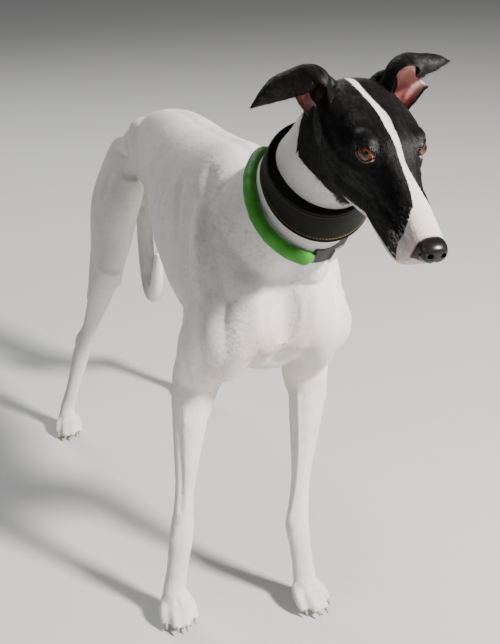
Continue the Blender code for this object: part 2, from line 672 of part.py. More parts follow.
def ear(side):
    """A thin leaf curled into a cup: a grid along the ear and across it, given thickness."""
    stations = EARS[side]
    rows = curve_through([[*c, *d, r, a] for c, d, r, a in stations], 2)
    spine = np.array([on_head(*row[:3]) for row in rows])
    cup = np.array([head_way(*row[3:6]) for row in rows])
    along = np.gradient(spine, axis=0)
    along /= np.linalg.norm(along, axis=1)[:, None]
    cup -= along * np.sum(cup * along, axis=1)[:, None]
    cup /= np.linalg.norm(cup, axis=1)[:, None]
    across = np.cross(along, cup)
    share = np.linspace(-1, 1, 11)
    angle = np.radians(rows[:, 7])[:, None] * share
    radius = rows[:, 6][:, None]
    layers = []
    for inset in (0.0, EAR_THICKNESS):
        thin = np.clip(inset * np.minimum(1.0, radius / 0.010), 0, 0.8 * radius)
        wide = (radius - thin) * np.sin(angle)
        deep = radius - (radius - thin) * np.cos(angle)
        grid = spine[:, None] + wide[..., None] * across[:, None] + deep[..., None] * cup[:, None]
        layers.append(grid)
    outer, inner = layers
    shells = Shells()
    shells.sweep([np.vstack([outer[i], inner[i][::-1]]) for i in range(len(outer))], fan=False)
    obj = shells.object("ear_" + side)
    work = bmesh.new()
    work.from_mesh(obj.data)
    bmesh.ops.recalc_face_normals(work, faces=work.faces)
    bmesh.ops.triangulate(work, faces=work.faces)
    work.to_mesh(obj.data)
    work.free()
    return obj


def eye(side):
    """The eyeball, a ball in its socket."""
    sign = -1 if side == "right" else 1
    centre = on_head(EYE_CENTRE[0], EYE_CENTRE[1] * sign, EYE_CENTRE[2])
    gaze = head_way(EYE_GAZE[0], EYE_GAZE[1] * sign, EYE_GAZE[2])
    return globe("eye_" + side, centre, gaze, EYE_RADIUS, 16, 10), centre, gaze


def globe(name, centre, axis, radius, around, rows):
    data = bpy.data.meshes.new(name)
    work = bmesh.new()
    bmesh.ops.create_uvsphere(work, u_segments=around, v_segments=rows, radius=radius)
    turn = Matrix([[*a] for a in frame_of(axis)]).transposed().to_4x4()
    bmesh.ops.transform(work, matrix=Matrix.Translation(centre) @ turn, verts=work.verts)
    bmesh.ops.triangulate(work, faces=work.faces)
    work.to_mesh(data)
    work.free()
    return link(bpy.data.objects.new(name, data))


def lens(centre, gaze, sign):
    """The cutter of the slit between the lids: an almond drawn out along the gaze."""
    slant = head_way(EYE_SLANT[0], EYE_SLANT[1] * sign, EYE_SLANT[2])
    gaze = Vector(gaze).normalized()
    wide = (slant - gaze * slant.dot(gaze)).normalized()
    tall = gaze.cross(wide)
    angles = np.linspace(0, 2 * math.pi, 16, endpoint=False)
    u = np.cos(angles) * EYE_OPENING[0]
    v = np.sin(angles) * EYE_OPENING[1] * np.sqrt(np.abs(np.sin(angles)))
    flat = np.outer(u, wide) + np.outer(v, tall)
    shells = Shells()
    shells.sweep([np.array(centre + gaze * reach) + flat * grow for reach, grow in ((0.002, 0.92), (0.024, 1.1))])
    return recalculated(shells.object("slit"))


def recalculated(obj):
    work = bmesh.new()
    work.from_mesh(obj.data)
    bmesh.ops.recalc_face_normals(work, faces=work.faces)
    work.to_mesh(obj.data)
    work.free()
    return obj


def mouth_cutter():
    """A thin wedge that runs along the line of the mouth and into the head."""
    half = [np.array(p) for p in MOUTH_LINE]
    line = [p * (1, -1, 1) for p in half[:0:-1]] + half
    rows = curve_through(line, 2)
    along = np.gradient(rows, axis=0)
    rings = []
    for (forward, left, up), way in zip(rows, along):
        out = np.array((way[1], -way[0], 0.0))
        out *= (1 if out[0] + 0.4 * out[1] * np.sign(left) > 0 else -1) / np.linalg.norm(out)
        place = np.array((forward, left, up))
        ring = []
        for reach, rise in ((0.006, 0.0012), (-0.0035, 0.0003), (-0.0035, -0.0003), (0.006, -0.0012)):
            ring.append(on_head(*(place + out * reach + (0, 0, rise))))
        rings.append(np.array(ring))
    shells = Shells()
    shells.sweep(rings)
    return recalculated(shells.object("mouth"))


def nostril_cutters():
    """Comma-shaped hollows in the nose pad, one on each side."""
    shells = Shells()
    for sign in (-1, 1):
        shells.limb((
            (on_head(0.2500, 0.0050 * sign, -0.0535), 0.0022, 0.0026, 0.0026, 2.0),
            (on_head(0.2440, 0.0072 * sign, -0.0540), 0.0026, 0.0030, 0.0030, 2.0),
            (on_head(0.2400, 0.0100 * sign, -0.0548), 0.0020, 0.0022, 0.0022, 2.0),
            (on_head(0.2385, 0.0150 * sign, -0.0560), 0.0012, 0.0013, 0.0013, 2.0),
            (on_head(0.2380, 0.0190 * sign, -0.0565), 0.0012, 0.0013, 0.0013, 2.0),
        ), head_way(0, 0, 1), steps=2, around=8)
    return recalculated(shells.object("nostrils"))


def hoop(name, collar, section, start=0.0, end=2 * math.pi, steps=38):
    """A strap round the neck, whole or from one angle to another, 0 being the dog's left and then the nape.

    section gives, for an angle, the corners: distances outwards from the collar's oval and heights across it.
    """
    first, second, normal = frame_of(collar["normal"])
    half, nape, throat = collar["half"]
    whole = end - start > 6.28
    rings = []
    for angle in np.linspace(start, end, steps, endpoint=not whole):
        deep = nape if math.sin(angle) > 0 else throat
        place = vec(collar["centre"]) + first * half * math.cos(angle) + second * deep * math.sin(angle)
        out = (first * math.cos(angle) / half + second * math.sin(angle) / deep).normalized()
        rings.append(np.array([place + out * reach + normal * rise for reach, rise in section(angle)]))
    shells = Shells()
    shells.sweep(rings)
    if whole:
        around = len(rings[0])
        last = (len(rings) - 1) * around
        shells.points = shells.points[:-2]
        shells.faces = shells.faces[:-2 * around]
        for j in range(around):
            k = (j + 1) % around
            shells.faces.append((last + j, last + k, k, j))
    return recalculated(shells.object(name))


def leaning(angle, collar, corners):
    """Corners of a strap's section, leaned so that the strap lies along the neck as it widens."""
    side, nape, throat = collar["lean"]
    lean = side + (nape - side) * max(0.0, math.sin(angle)) + (throat - side) * max(0.0, -math.sin(angle))
    return [(reach - lean * rise, rise) for reach, rise in corners]


def leather_section(angle):
    """The leather strap: wider at the throat, a little crowned outside, sunk into the neck inside."""
    low, high = LEATHER_COLLAR["height"]
    thick = LEATHER_COLLAR["thickness"]
    wide = 0.5 * (low + (high - low) * (0.5 - 0.5 * math.sin(angle)) ** 1.5)
    return leaning(angle, LEATHER_COLLAR, ((-SUNK, -wide), (thick, -wide), (thick + 0.0008, 0.0),
                                           (thick, wide), (-SUNK, wide)))


def padded_section(angle):
    """The padded strap: an oval tube."""
    radius = PADDED_COLLAR["radius"]
    turns = np.linspace(0, 2 * math.pi, 10, endpoint=False)
    corners = [(radius * (0.75 + math.cos(t)), radius * 1.2 * math.sin(t)) for t in turns]
    return leaning(angle, PADDED_COLLAR, corners)


def webbing_section(angle):
    half = 0.5 * WEBBING_HEIGHT
    return leaning(angle, PADDED_COLLAR, ((-SUNK, -half), (WEBBING_THICKNESS, -half),
                                          (WEBBING_THICKNESS, half), (-SUNK, half)))


def slider_section(angle):
    """The adjusting slide, a flat bar over the webbing."""
    half = 0.5 * WEBBING_HEIGHT + 0.0025
    inner = WEBBING_THICKNESS + GAP
    outer = inner + 0.0025
    return leaning(angle, PADDED_COLLAR, ((inner, -half), (outer, -half), (outer, half), (inner, half)))


def region(name, planes, grow=0.0):
    """A closed block bounded by planes, each a point and the way into the block, moved out by grow."""
    data = bpy.data.meshes.new(name)
    work = bmesh.new()
    bmesh.ops.create_cube(work, size=3.0)
    for point, inward in planes:
        inward = Vector(inward).normalized()
        geom = list(work.verts) + list(work.edges) + list(work.faces)
        cut = bmesh.ops.bisect_plane(work, geom=geom, plane_co=Vector(point) - inward * grow,
                                     plane_no=-inward, clear_outer=True)
        rim = [g for g in cut["geom_cut"] if isinstance(g, bmesh.types.BMEdge)]
        bmesh.ops.contextual_create(work, geom=rim)
    bmesh.ops.recalc_face_normals(work, faces=work.faces)
    work.to_mesh(data)
    work.free()
    return link(bpy.data.objects.new(name, data))


def part_regions():
    """The block that each node of the body is cut out with, in the order of cutting."""
    head_way_out = head_way(0.825, 0.0, 0.565)
    nape = on_head(-0.034, 0.0, -0.020)
    blocks = {"head": [(nape, head_way_out)]}
    tail_sides = [((-0.035, 0, 0), (1, 0, 0)), ((0.035, 0, 0), (-1, 0, 0))]
    blocks["tail_upper"] = tail_sides + [((0, 0.681, 0.590), (0, 0.72, -0.69)), ((0, 0.681, 0), (0, 1, 0)),
                                         ((0, 0, TAIL_SPLIT), (0, 0, 1))]
    blocks["tail_lower"] = tail_sides + [((0, 0.560, 0), (0, 1, 0)), ((0, 0, TAIL_SPLIT - GAP), (0, 0, -1))]
    for side, sign in (("right", -1), ("left", 1)):
        blocks["foreleg_" + side] = [
            ((0.040 * sign, 0, 0.395), (0.924 * sign, 0, -0.383)),
            ((0.0005 * sign, 0, 0), (sign, 0, 0)),
            ((0, 0.115, 0), (0, -1, 0)),
        ]
        blocks["hind_leg_" + side] = [
            ((0.030 * sign, 0, 0.470), (0.906 * sign, 0, -0.423)),
            ((0.0005 * sign, 0, 0), (sign, 0, 0)),
            ((0, 0.430, 0), (0, 1, 0)),
        ]
    blocks["neck"] = [((0.005, -0.045, 0.635), (0.12, -0.58, 0.80))]
    return blocks


def flesh_nodes():
    """Parts the whole body into its nodes, GAP apart."""
    body = merged(body_shells(), "body", BODY_VOXEL, BODY_SMOOTHING, BODY_TRIANGLES, body_strokes())
    sole = region("floor", [((0, 0, FLOOR_CUT), (0, 0, -1))])
    boolean(body, sole, "DIFFERENCE")
    drop(sole)
    head = merged(head_shells(), "head_flesh", HEAD_VOXEL, HEAD_SMOOTHING, HEAD_TRIANGLES)
    whole = duplicate(body, "whole", grow=GAP)
    whole_head = duplicate(head, "whole_head", grow=GAP)
    nodes = {}
    rest = body
    for name, planes in part_regions().items():
        near = region("near", planes)
        far = region("far", planes, grow=GAP)
        source = head if name == "head" else rest
        node = duplicate(source, name)
        nodes[name] = keep_largest(boolean(node, near, "INTERSECT"))
        boolean(rest, far, "DIFFERENCE")
        drop(near, far)
    rest.name = "torso"
    nodes["torso"] = keep_largest(rest)
    drop(head)
    return nodes, whole, whole_head


def finish_head(head):
    """Cuts sockets, slits between the lids, nostrils and the line of the mouth into the head."""
    globes = []
    for side, sign in (("right", -1), ("left", 1)):
        ball, centre, gaze = eye(side)
        lid = globe("lid", centre, gaze, EYE_RADIUS + LID_THICKNESS, 20, 12)
        boolean(head, lid, "UNION")
        socket = globe("socket", centre, gaze, EYE_RADIUS + GAP, 20, 12)
        boolean(head, socket, "DIFFERENCE")
        slit = lens(centre, gaze, sign)
        boolean(head, slit, "DIFFERENCE")
        drop(lid, socket, slit)
        globes.append(ball)
    for cutter in (nostril_cutters(), mouth_cutter()):
        boolean(head, cutter, "DIFFERENCE")
        drop(cutter)
    keep_largest(head)
    return globes


def collars(whole, whole_head):
    span = (math.radians(PADDED_SPAN[0]), math.radians(PADDED_SPAN[1]))
    slide = (math.radians(SLIDER_SPAN[0]), math.radians(SLIDER_SPAN[1]))
    apart = GAP / PADDED_COLLAR["half"][0]
    pieces = [
        hoop("collar_leather", LEATHER_COLLAR, leather_section),
        hoop("collar_padded", PADDED_COLLAR, padded_section, span[0], span[1], 26),
        hoop("collar_webbing", PADDED_COLLAR, webbing_section, span[1] + apart,
             span[0] + 2 * math.pi - apart, 26),
    ]
    for piece in pieces:
        boolean(piece, whole, "DIFFERENCE")
        boolean(piece, whole_head, "DIFFERENCE")
        keep_largest(piece)
    pieces.append(hoop("collar_slider", PADDED_COLLAR, slider_section, slide[0], slide[1], 4))
    return pieces


def paint(obj, color, roughness, metallic=0.0):
    material = bpy.data.materials.new(obj.name)
    material.use_nodes = True
    shader = material.node_tree.nodes["Principled BSDF"]
    shader.inputs["Base Color"].default_value = color
    shader.inputs["Roughness"].default_value = roughness
    shader.inputs["Metallic"].default_value = metallic
    obj.data.materials.clear()
    obj.data.materials.append(material)


def main():
    for obj in list(bpy.data.objects):
        bpy.data.objects.remove(obj, do_unlink=True)
    nodes, whole, whole_head = flesh_nodes()
    head = nodes["head"]
    eyes = finish_head(head)
    ears = []
    for side in ("right", "left"):
        leaf = ear(side)
        boolean(leaf, whole_head, "DIFFERENCE")
        boolean(leaf, whole, "DIFFERENCE")
        ears.append(keep_largest(leaf))
    straps = collars(whole, whole_head)
    drop(whole, whole_head)
    group = bpy.data.collections.new("greyhound")
    bpy.context.scene.collection.children.link(group)
    for obj in list(nodes.values()) + eyes + ears + straps:
        work = bmesh.new()
        work.from_mesh(obj.data)
        bmesh.ops.translate(work, verts=work.verts, vec=SHIFT)
        bmesh.ops.triangulate(work, faces=work.faces)
        work.to_mesh(obj.data)
        work.free()
        obj.data.shade_smooth()
        obj.data.set_sharp_from_angle(angle=math.radians(40))
        name = obj.name
        color, roughness = COLORS.get(name, (FUR, 0.85))
        paint(obj, color, roughness, 1.0 if name == "collar_slider" else 0.0)
        bpy.context.scene.collection.objects.unlink(obj)
        group.objects.link(obj)


if __name__ == "__main__":
    main()
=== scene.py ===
"""Looks of the standing greyhound: skin, short coat, eyes, claws, collars, floor, light and camera.

Metres, +Z up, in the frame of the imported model. The dog faces -Y and its left side is +X.
"""

import math

import bmesh
import bpy
import numpy as np
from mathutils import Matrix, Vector
from mathutils.kdtree import KDTree


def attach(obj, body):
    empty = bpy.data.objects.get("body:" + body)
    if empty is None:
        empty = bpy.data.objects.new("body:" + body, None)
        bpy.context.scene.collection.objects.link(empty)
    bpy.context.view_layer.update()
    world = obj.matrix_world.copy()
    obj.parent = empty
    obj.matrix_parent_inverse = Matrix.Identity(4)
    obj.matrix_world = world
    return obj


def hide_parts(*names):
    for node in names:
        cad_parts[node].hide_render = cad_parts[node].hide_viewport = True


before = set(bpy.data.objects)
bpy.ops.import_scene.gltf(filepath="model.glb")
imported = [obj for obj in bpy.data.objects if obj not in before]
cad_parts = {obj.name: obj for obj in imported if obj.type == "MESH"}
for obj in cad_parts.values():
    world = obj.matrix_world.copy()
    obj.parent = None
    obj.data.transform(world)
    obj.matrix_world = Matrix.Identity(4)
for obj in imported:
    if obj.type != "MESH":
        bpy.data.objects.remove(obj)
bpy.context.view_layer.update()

# The shapes are worked out in the dog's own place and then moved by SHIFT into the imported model's frame.
SHIFT = np.array((0.0315, -0.1690, 0.0))
COAT_DEPTH = 0.0008

# Skins: the cubes they are merged on, the rounds of smoothing and the triangles kept.
BODY_VOXEL = 0.0030
BODY_SMOOTHING = 8
BODY_TRIANGLES = 104000
HEAD_VOXEL = 0.0014
HEAD_SMOOTHING = 7
HEAD_TRIANGLES = 62000

# Head: the back of the skull, and the turns of the head's axes.
HEAD_ORIGIN = np.array((0.048, -0.192, 0.864))
HEAD_YAW = math.radians(0.6)
HEAD_PITCH = math.radians(22.9)
HEAD_ROLL = math.radians(-1.0)

FRONT, BACK, LEFT, UP = np.array(((0, -1, 0), (0, 1, 0), (1, 0, 0), (0, 0, 1)), float)
SIDES = (("right", -1), ("left", 1))

# Trunk sections, back from the breastbone: y, top, bottom, half width, squareness. Each is widest at a share
# of its height.
TRUNK_WIDEST = 0.56
TRUNK = (
    (-0.108, 0.580, 0.492, 0.022, 2.0),
    (-0.094, 0.612, 0.470, 0.050, 2.0),
    (-0.055, 0.660, 0.438, 0.074, 2.1),
    (0.000, 0.700, 0.416, 0.084, 2.1),
    (0.080, 0.722, 0.403, 0.091, 2.1),
    (0.180, 0.712, 0.405, 0.095, 2.1),
    (0.280, 0.704, 0.430, 0.089, 2.1),
    (0.370, 0.703, 0.474, 0.076, 2.1),
    (0.450, 0.695, 0.514, 0.066, 2.2),
    (0.530, 0.675, 0.530, 0.064, 2.2),
    (0.610, 0.645, 0.520, 0.061, 2.2),
    (0.665, 0.616, 0.528, 0.050, 2.1),
    (0.692, 0.592, 0.548, 0.028, 2.0),
)

# Neck stations: centre, half width, towards the nape, towards the throat.
NECK = (
    ((0.000, 0.050, 0.590), 0.077, 0.100, 0.114),
    ((0.012, -0.032, 0.646), 0.0745, 0.085, 0.100),
    ((0.021, -0.091, 0.700), 0.062, 0.070, 0.088),
    ((0.035, -0.133, 0.752), 0.056, 0.056, 0.076),
    ((0.045, -0.163, 0.804), 0.051, 0.043, 0.060),
    ((0.048, -0.178, 0.832), 0.043, 0.031, 0.048),
)

# Sections of skull and upper muzzle, forward from the back of the skull: forward, top, bottom, half width.
SKULL = (
    (-0.030, -0.034, -0.070, 0.022),
    (-0.018, -0.016, -0.082, 0.036),
    (0.004, -0.004, -0.088, 0.0465),
    (0.035, 0.000, -0.089, 0.0520),
    (0.070, 0.0015, -0.088, 0.0530),
    (0.095, 0.0005, -0.085, 0.0480),
    (0.115, -0.004, -0.082, 0.0375),
    (0.135, -0.0145, -0.081, 0.0295),
    (0.160, -0.0250, -0.081, 0.0245),
    (0.185, -0.0330, -0.081, 0.0220),
    (0.210, -0.0380, -0.080, 0.0205),
    (0.228, -0.0430, -0.0755, 0.0180),
    (0.238, -0.0490, -0.0700, 0.0120),
)

# Sections of the lower jaw and its chewing muscle.
JAW = (
    (0.008, -0.050, -0.099, 0.031),
    (0.040, -0.050, -0.1115, 0.038),
    (0.075, -0.050, -0.1165, 0.037),
    (0.105, -0.050, -0.1130, 0.031),
    (0.140, -0.055, -0.1040, 0.024),
    (0.175, -0.060, -0.0980, 0.0215),
    (0.198, -0.062, -0.0935, 0.0190),
    (0.216, -0.064, -0.0860, 0.0120),
)

# The upper lips, squarer than the muzzle above them.
LIPS = (
    (0.118, -0.055, -0.0900, 0.0285),
    (0.145, -0.050, -0.0950, 0.0280),
    (0.172, -0.049, -0.0980, 0.0270),
    (0.198, -0.051, -0.0970, 0.0265),
    (0.216, -0.053, -0.0910, 0.0250),
    (0.230, -0.055, -0.0785, 0.0190),
)

# The nose pad: forward, top, bottom, half width.
NOSE = (
    (0.222, -0.0440, -0.0620, 0.0125),
    (0.230, -0.0410, -0.0650, 0.0160),
    (0.238, -0.0415, -0.0665, 0.0165),
    (0.245, -0.0450, -0.0650, 0.0138),
    (0.248, -0.0500, -0.0610, 0.0082),
)

# The left eye in the head's axes: the ball, the way out between the lids, the way along them, and the way the
# iris looks.
EYE_CENTRE = (0.1115, 0.0285, -0.0212)
EYE_GAZE = (0.56, 0.82, 0.10)
EYE_SLANT = (1.0, -0.60, 0.14)
EYE_LOOK = (0.70, 0.62, 0.30)
EYE_RADIUS = 0.0115
EYE_OPENING = (0.0121, 0.0086)
LID_THICKNESS = 0.0017
# The clear bulge in front of the iris: its height and the angle it ends at.
CORNEA_HEIGHT = 0.0007
CORNEA_ANGLE = math.radians(40)

# Half of the mouth's line on the dog's left, from the front to the corner: forward, left, up.
MOUTH_LINE = (
    (0.2370, 0.0000, -0.0735),
    (0.2320, 0.0120, -0.0765),
    (0.2180, 0.0225, -0.0845),
    (0.2000, 0.0260, -0.0890),
    (0.1780, 0.0268, -0.0900),
    (0.1560, 0.0282, -0.0890),
    (0.1380, 0.0330, -0.0890),
)

# Ear stations: the back of the ear, the way its cup faces, radius of its curl, half the angle it wraps round.
EARS = {
    "right": (
        ((-0.0006, -0.0345, -0.0315), (0.89, -0.46, 0.01), 0.0190, 135),
        ((-0.0067, -0.0451, -0.0133), (0.91, -0.40, -0.09), 0.0215, 125),
        ((-0.0109, -0.0548, 0.0049), (0.88, -0.24, -0.40), 0.0225, 115),
        ((-0.0111, -0.0677, 0.0091), (0.62, -0.14, -0.78), 0.0225, 105),
        ((-0.0073, -0.0829, 0.0023), (0.20, 0.03, -0.97), 0.0215, 92),
        ((-0.0036, -0.0971, -0.0085), (-0.15, 0.19, -0.95), 0.0185, 78),
        ((-0.0018, -0.1104, -0.0222), (-0.25, 0.24, -0.92), 0.0120, 65),
        ((-0.0010, -0.1221, -0.0361), (-0.15, 0.24, -0.92), 0.0030, 50),
    ),
    "left": (
        ((-0.0035, 0.0335, -0.0325), (0.97, 0.13, -0.00), 0.0225, 130),
        ((-0.0093, 0.0460, -0.0127), (0.98, -0.02, -0.10), 0.0255, 117),
        ((-0.0131, 0.0573, 0.0071), (0.95, -0.10, -0.25), 0.0273, 110),
        ((-0.0129, 0.0695, 0.0149), (0.78, -0.12, -0.62), 0.0262, 104),
        ((-0.0077, 0.0804, 0.0187), (0.40, -0.07, -0.90), 0.0231, 92),
        ((-0.0025, 0.0924, 0.0185), (0.05, -0.02, -0.98), 0.0173, 74),
        ((-0.0003, 0.1033, 0.0164), (-0.10, -0.06, -0.98), 0.0105, 62),
        ((-0.0002, 0.1122, 0.0122), (-0.10, -0.06, -0.98), 0.0030, 50),
    ),
}
EAR_THICKNESS = 0.0022
EAR_ROWS, EAR_COLUMNS = 66, 49
# Folds inside the ear: place across, lean, width and height.
EAR_FOLDS = ((-0.45, 0.5, 0.09, 0.0022), (-0.12, 0.3, 0.10, 0.0028), (0.22, -0.1, 0.09, 0.0024),
             (0.55, -0.4, 0.10, 0.0022))
# The share of each ear's length, from its root, whose inside is bare.
EAR_BARE = 0.52

SHOULDER = {"right": (-0.074, -0.060, 0.522), "left": (0.076, -0.060, 0.520)}
ELBOW = {"right": (-0.091, 0.036, 0.394), "left": (0.088, 0.028, 0.392)}
WRIST = {"right": (-0.120, 0.016, 0.142), "left": (0.059, -0.010, 0.140)}
FORE_PAW = {"right": (-0.134, 0.002, 0.0), "left": (0.069, -0.030, 0.0)}
FORE_TOE_TURN = {"right": 4.0, "left": -16.0}

HIP = {"right": (-0.064, 0.582, 0.556), "left": (0.064, 0.596, 0.554)}
STIFLE = {"right": (-0.114, 0.500, 0.408), "left": (0.090, 0.528, 0.398)}
HOCK = {"right": (-0.160, 0.618, 0.186), "left": (0.088, 0.706, 0.186)}
HIND_PAW = {"right": (-0.194, 0.634, 0.0), "left": (0.088, 0.700, 0.0)}
HIND_TOE_TURN = {"right": 12.0, "left": -6.0}
FORE_PAW_SIZE, HIND_PAW_SIZE = 1.0, 0.92
# Toes from one side of a paw to the other: place across, in toe widths, and reach forward.
TOE_PLACES = ((-1.5, 0.026), (-0.5, 0.040), (0.5, 0.040), (1.5, 0.026))

# Tail stations: centre and radius. It hangs between the hind legs and hooks forward at its end.
TAIL = (
    ((0.000, 0.655, 0.598), 0.0260),
    ((0.000, 0.696, 0.568), 0.0225),
    ((0.000, 0.713, 0.500), 0.0190),
    ((0.000, 0.715, 0.420), 0.0168),
    ((0.000, 0.710, 0.350), 0.0162),
    ((-0.001, 0.690, 0.294), 0.0162),
    ((-0.002, 0.652, 0.275), 0.0158),
    ((-0.003, 0.622, 0.300), 0.0145),
    ((-0.003, 0.600, 0.344), 0.0120),
    ((-0.003, 0.585, 0.386), 0.0085),
)

# Collars: centre, way up the neck, half width, towards the nape, towards the throat. The lean says how far a
# strap stands further out for each metre down the neck: at the sides, at the nape, at the throat.
LEATHER_COLLAR = {
    "centre": (0.0296, -0.1258, 0.7359), "normal": (-0.12, -0.64, 0.76),
    "half": (0.0628, 0.0655, 0.0775), "lean": (0.09, 0.22, 0.20), "height": (0.031, 0.046),
    "thickness": 0.0040,
}
PADDED_COLLAR = {
    "centre": (0.0206, -0.1000, 0.6880), "normal": (0.14, -0.67, 0.73),
    "half": (0.0630, 0.0850, 0.0740), "lean": (0.10, 0.30, 0.12), "radius": 0.0078,
}
WEBBING_HEIGHT = 0.022
WEBBING_THICKNESS = 0.0035
# The piping along the leather collar's edges, and its stitches.
PIPING_RADIUS, PIPING_OFFSET, PIPING_INSET = 0.0021, 0.0024, 0.0004
STITCH_PITCH, STITCH_LENGTH, STITCH_THICKNESS, STITCH_INSET = 0.0040, 0.0028, 0.0007, 0.0052
# The angles in degrees, from the left round the nape, where the padding starts and ends.
PADDED_SPAN = (112, 264)
# How far the straps' inner faces lie inside the neck, and the gap between pieces that touch.
SUNK = 0.012
GAP = 0.0003
# Body and head skins meet this far on either side of the broad collar's middle.
SKIN_OVERLAP = 0.006

# Where the black of the head ends on the neck: forward and up in the head, from the throat to the nape.
DARK_EDGE = (
    (0.300, -0.165), (0.070, -0.160), (0.064, -0.141), (0.058, -0.122), (0.049, -0.113), (0.037, -0.106),
    (0.022, -0.102), (0.007, -0.099), (-0.003, -0.080), (-0.012, -0.066), (-0.024, -0.048), (-0.035, -0.030),
    (-0.038, 0.020),
)
# The upper limit of the white under the jaw: forward and up.
CHIN_EDGE = ((0.070, -0.125), (0.085, -0.104), (0.105, -0.096), (0.140, -0.0875), (0.175, -0.0850),
             (0.210, -0.0830))
# The white blaze: forward in the head, then its edges on the dog's right and left, in degrees about an axis
# this far below the back of the skull.
MUZZLE_AXIS = 0.062
BLAZE_EDGES = (
    (-0.006, -10, -6), (0.004, -12, -3.9), (0.032, -9.2, -2.8), (0.056, -7.2, 0.9), (0.078, -6.4, 3.6),
    (0.097, -7.2, 2.2), (0.113, -5.9, 2.0), (0.125, -4.3, 2.2), (0.137, -4.8, 2.5), (0.149, -4.2, 5.6),
    (0.162, -3.4, 12.9), (0.175, -5.4, 22), (0.187, -11, 38), (0.200, -32, 75), (0.206, -56, 100),
    (0.210, -85, 118), (0.213, -116, 135), (0.222, -179, 179), (0.260, -185, 185),
)
# Places where the skin shows pink through the coat: |x|, y, z, size and amount.
THIN_PLACES = (
    ((0.025, -0.100, 0.500), 0.036, 0.60), ((0.060, -0.030, 0.420), 0.040, 0.45),
    ((0.000, 0.380, 0.470), 0.080, 0.35), ((0.040, 0.560, 0.480), 0.060, 0.40),
)

# Places whose creases are softened: |x|, y, z and radius. The stifles are softened too.
SOFT_PLACES = (((0.072, -0.065, 0.510), 0.034), ((0.085, 0.480, 0.600), 0.045),
               ((0.100, 0.520, 0.420), 0.050))
SOFTENING, SOFTENING_ROUNDS = 0.5, 14
STIFLE_SOFTNESS = 0.060

# Pieces of coat: name, number of tufts and seed. The last two part at COAT_SPLIT along the body.
COAT_PIECES = (("coat_head", 46000, 3), ("coat_front", 48000, 5), ("coat_rear", 48000, 7))
COAT_SPLIT = 0.12
# The flat map of the coat: its cells, and where a part starts in its cell and how much of the cell it fills.
MAP_COLUMNS, MAP_ROWS = 4, 3
MAP_MARGIN, MAP_SPAN = 0.03, 0.94
# No tufts grow under the straps, this far up and down the neck from a strap's middle and within NECK_REACH
# of it, nor on the paws below SOLE_HEIGHT.
STRAP_COVERS = ((LEATHER_COLLAR, 0.024), (PADDED_COLLAR, 0.011))
NECK_REACH = 0.13
SOLE_HEIGHT = 0.006
# Roots of tufts lie this deep in the skin, and nothing of the coat or claws comes lower than this.
ROOT_DEPTH, FLOOR_GAP = 0.0003, 0.0002

# Camera: place, turns down and towards the dog's left, and focal length in pixels of a frame this high.
CAMERA_PLACE = np.array((-0.446, -1.278, 1.087))
CAMERA_PITCH, CAMERA_YAW = math.radians(23.92), math.radians(18.64)
CAMERA_FOCUS, FRAME_HEIGHT, SENSOR_HEIGHT = 1050.0, 644, 24.0

# Lights: name, place, width, power and colour. All look at LIT_PLACE.
LIT_PLACE = (0.0, -0.1, 0.5)
LIGHTS = (
    ("key", (2.3, -2.9, 3.3), 0.7, 590, (1.0, 0.97, 0.93)),
    ("fill", (-3.0, -1.4, 1.7), 2.4, 12, (0.92, 0.95, 1.0)),
    ("back", (-0.4, 3.0, 3.2), 1.6, 80, (1, 1, 1)),
)
SKY_COLOR, SKY_STRENGTH = (0.80, 0.84, 0.90, 1), 0.13
FLOOR_REACH = 8


# Sums on points


def unit(v):
    """Vectors of length 1 along v."""
    v = np.asarray(v, float)
    return v / np.linalg.norm(v, axis=-1, keepdims=True)


def between(first, second, share):
    """The point at a share of the way from first to second."""
    return np.asarray(first, float) * (1 - share) + np.asarray(second, float) * share


def ramp(x, low, high):
    """0 below low, 1 above high, and a smooth step (3t^2 - 2t^3) between them."""
    t = np.clip((np.asarray(x, float) - low) / (high - low), 0, 1)
    return t * t * (3 - 2 * t)


def turns(count):
    """Angles of count places, evenly round a circle."""
    return np.linspace(0, 2 * math.pi, count, endpoint=False)


def running(steps):
    """The sum of the steps so far, from 0."""
    return np.concatenate([[0], np.cumsum(steps)])


def head_axes():
    """Forward, left and up of the head as rows, from its yaw, pitch and roll."""
    forward = np.array((math.sin(HEAD_YAW), -math.cos(HEAD_YAW), 0))
    left = np.array((math.cos(HEAD_YAW), math.sin(HEAD_YAW), 0))
    ahead = forward * math.cos(HEAD_PITCH) - UP * math.sin(HEAD_PITCH)
    crown = UP * math.cos(HEAD_PITCH) + forward * math.sin(HEAD_PITCH)
    side = left * math.cos(HEAD_ROLL) + crown * math.sin(HEAD_ROLL)
    return np.array((ahead, side, crown * math.cos(HEAD_ROLL) - left * math.sin(HEAD_ROLL)))


HEAD_AXES = head_axes()


def head_way(forward, left, up):
    return np.array((forward, left, up), float) @ HEAD_AXES


def on_head(forward, left, up):
    """A point given by its distances from the back of the skull, along the head's own axes."""
    return HEAD_ORIGIN + head_way(forward, left, up)


def on_side(values, sign):
    """Forward, left and up as given for the dog's left, or turned over to its right where sign is -1."""
    return np.array(values) * (1, sign, 1)


def at_side(side, *tables):
    """The same side's place from each table."""
    return [np.array(table[side]) for table in tables]


def in_head(points):
    """Forward, left and up distances of points, from the back of the skull."""
    return (points - HEAD_ORIGIN) @ HEAD_AXES.T


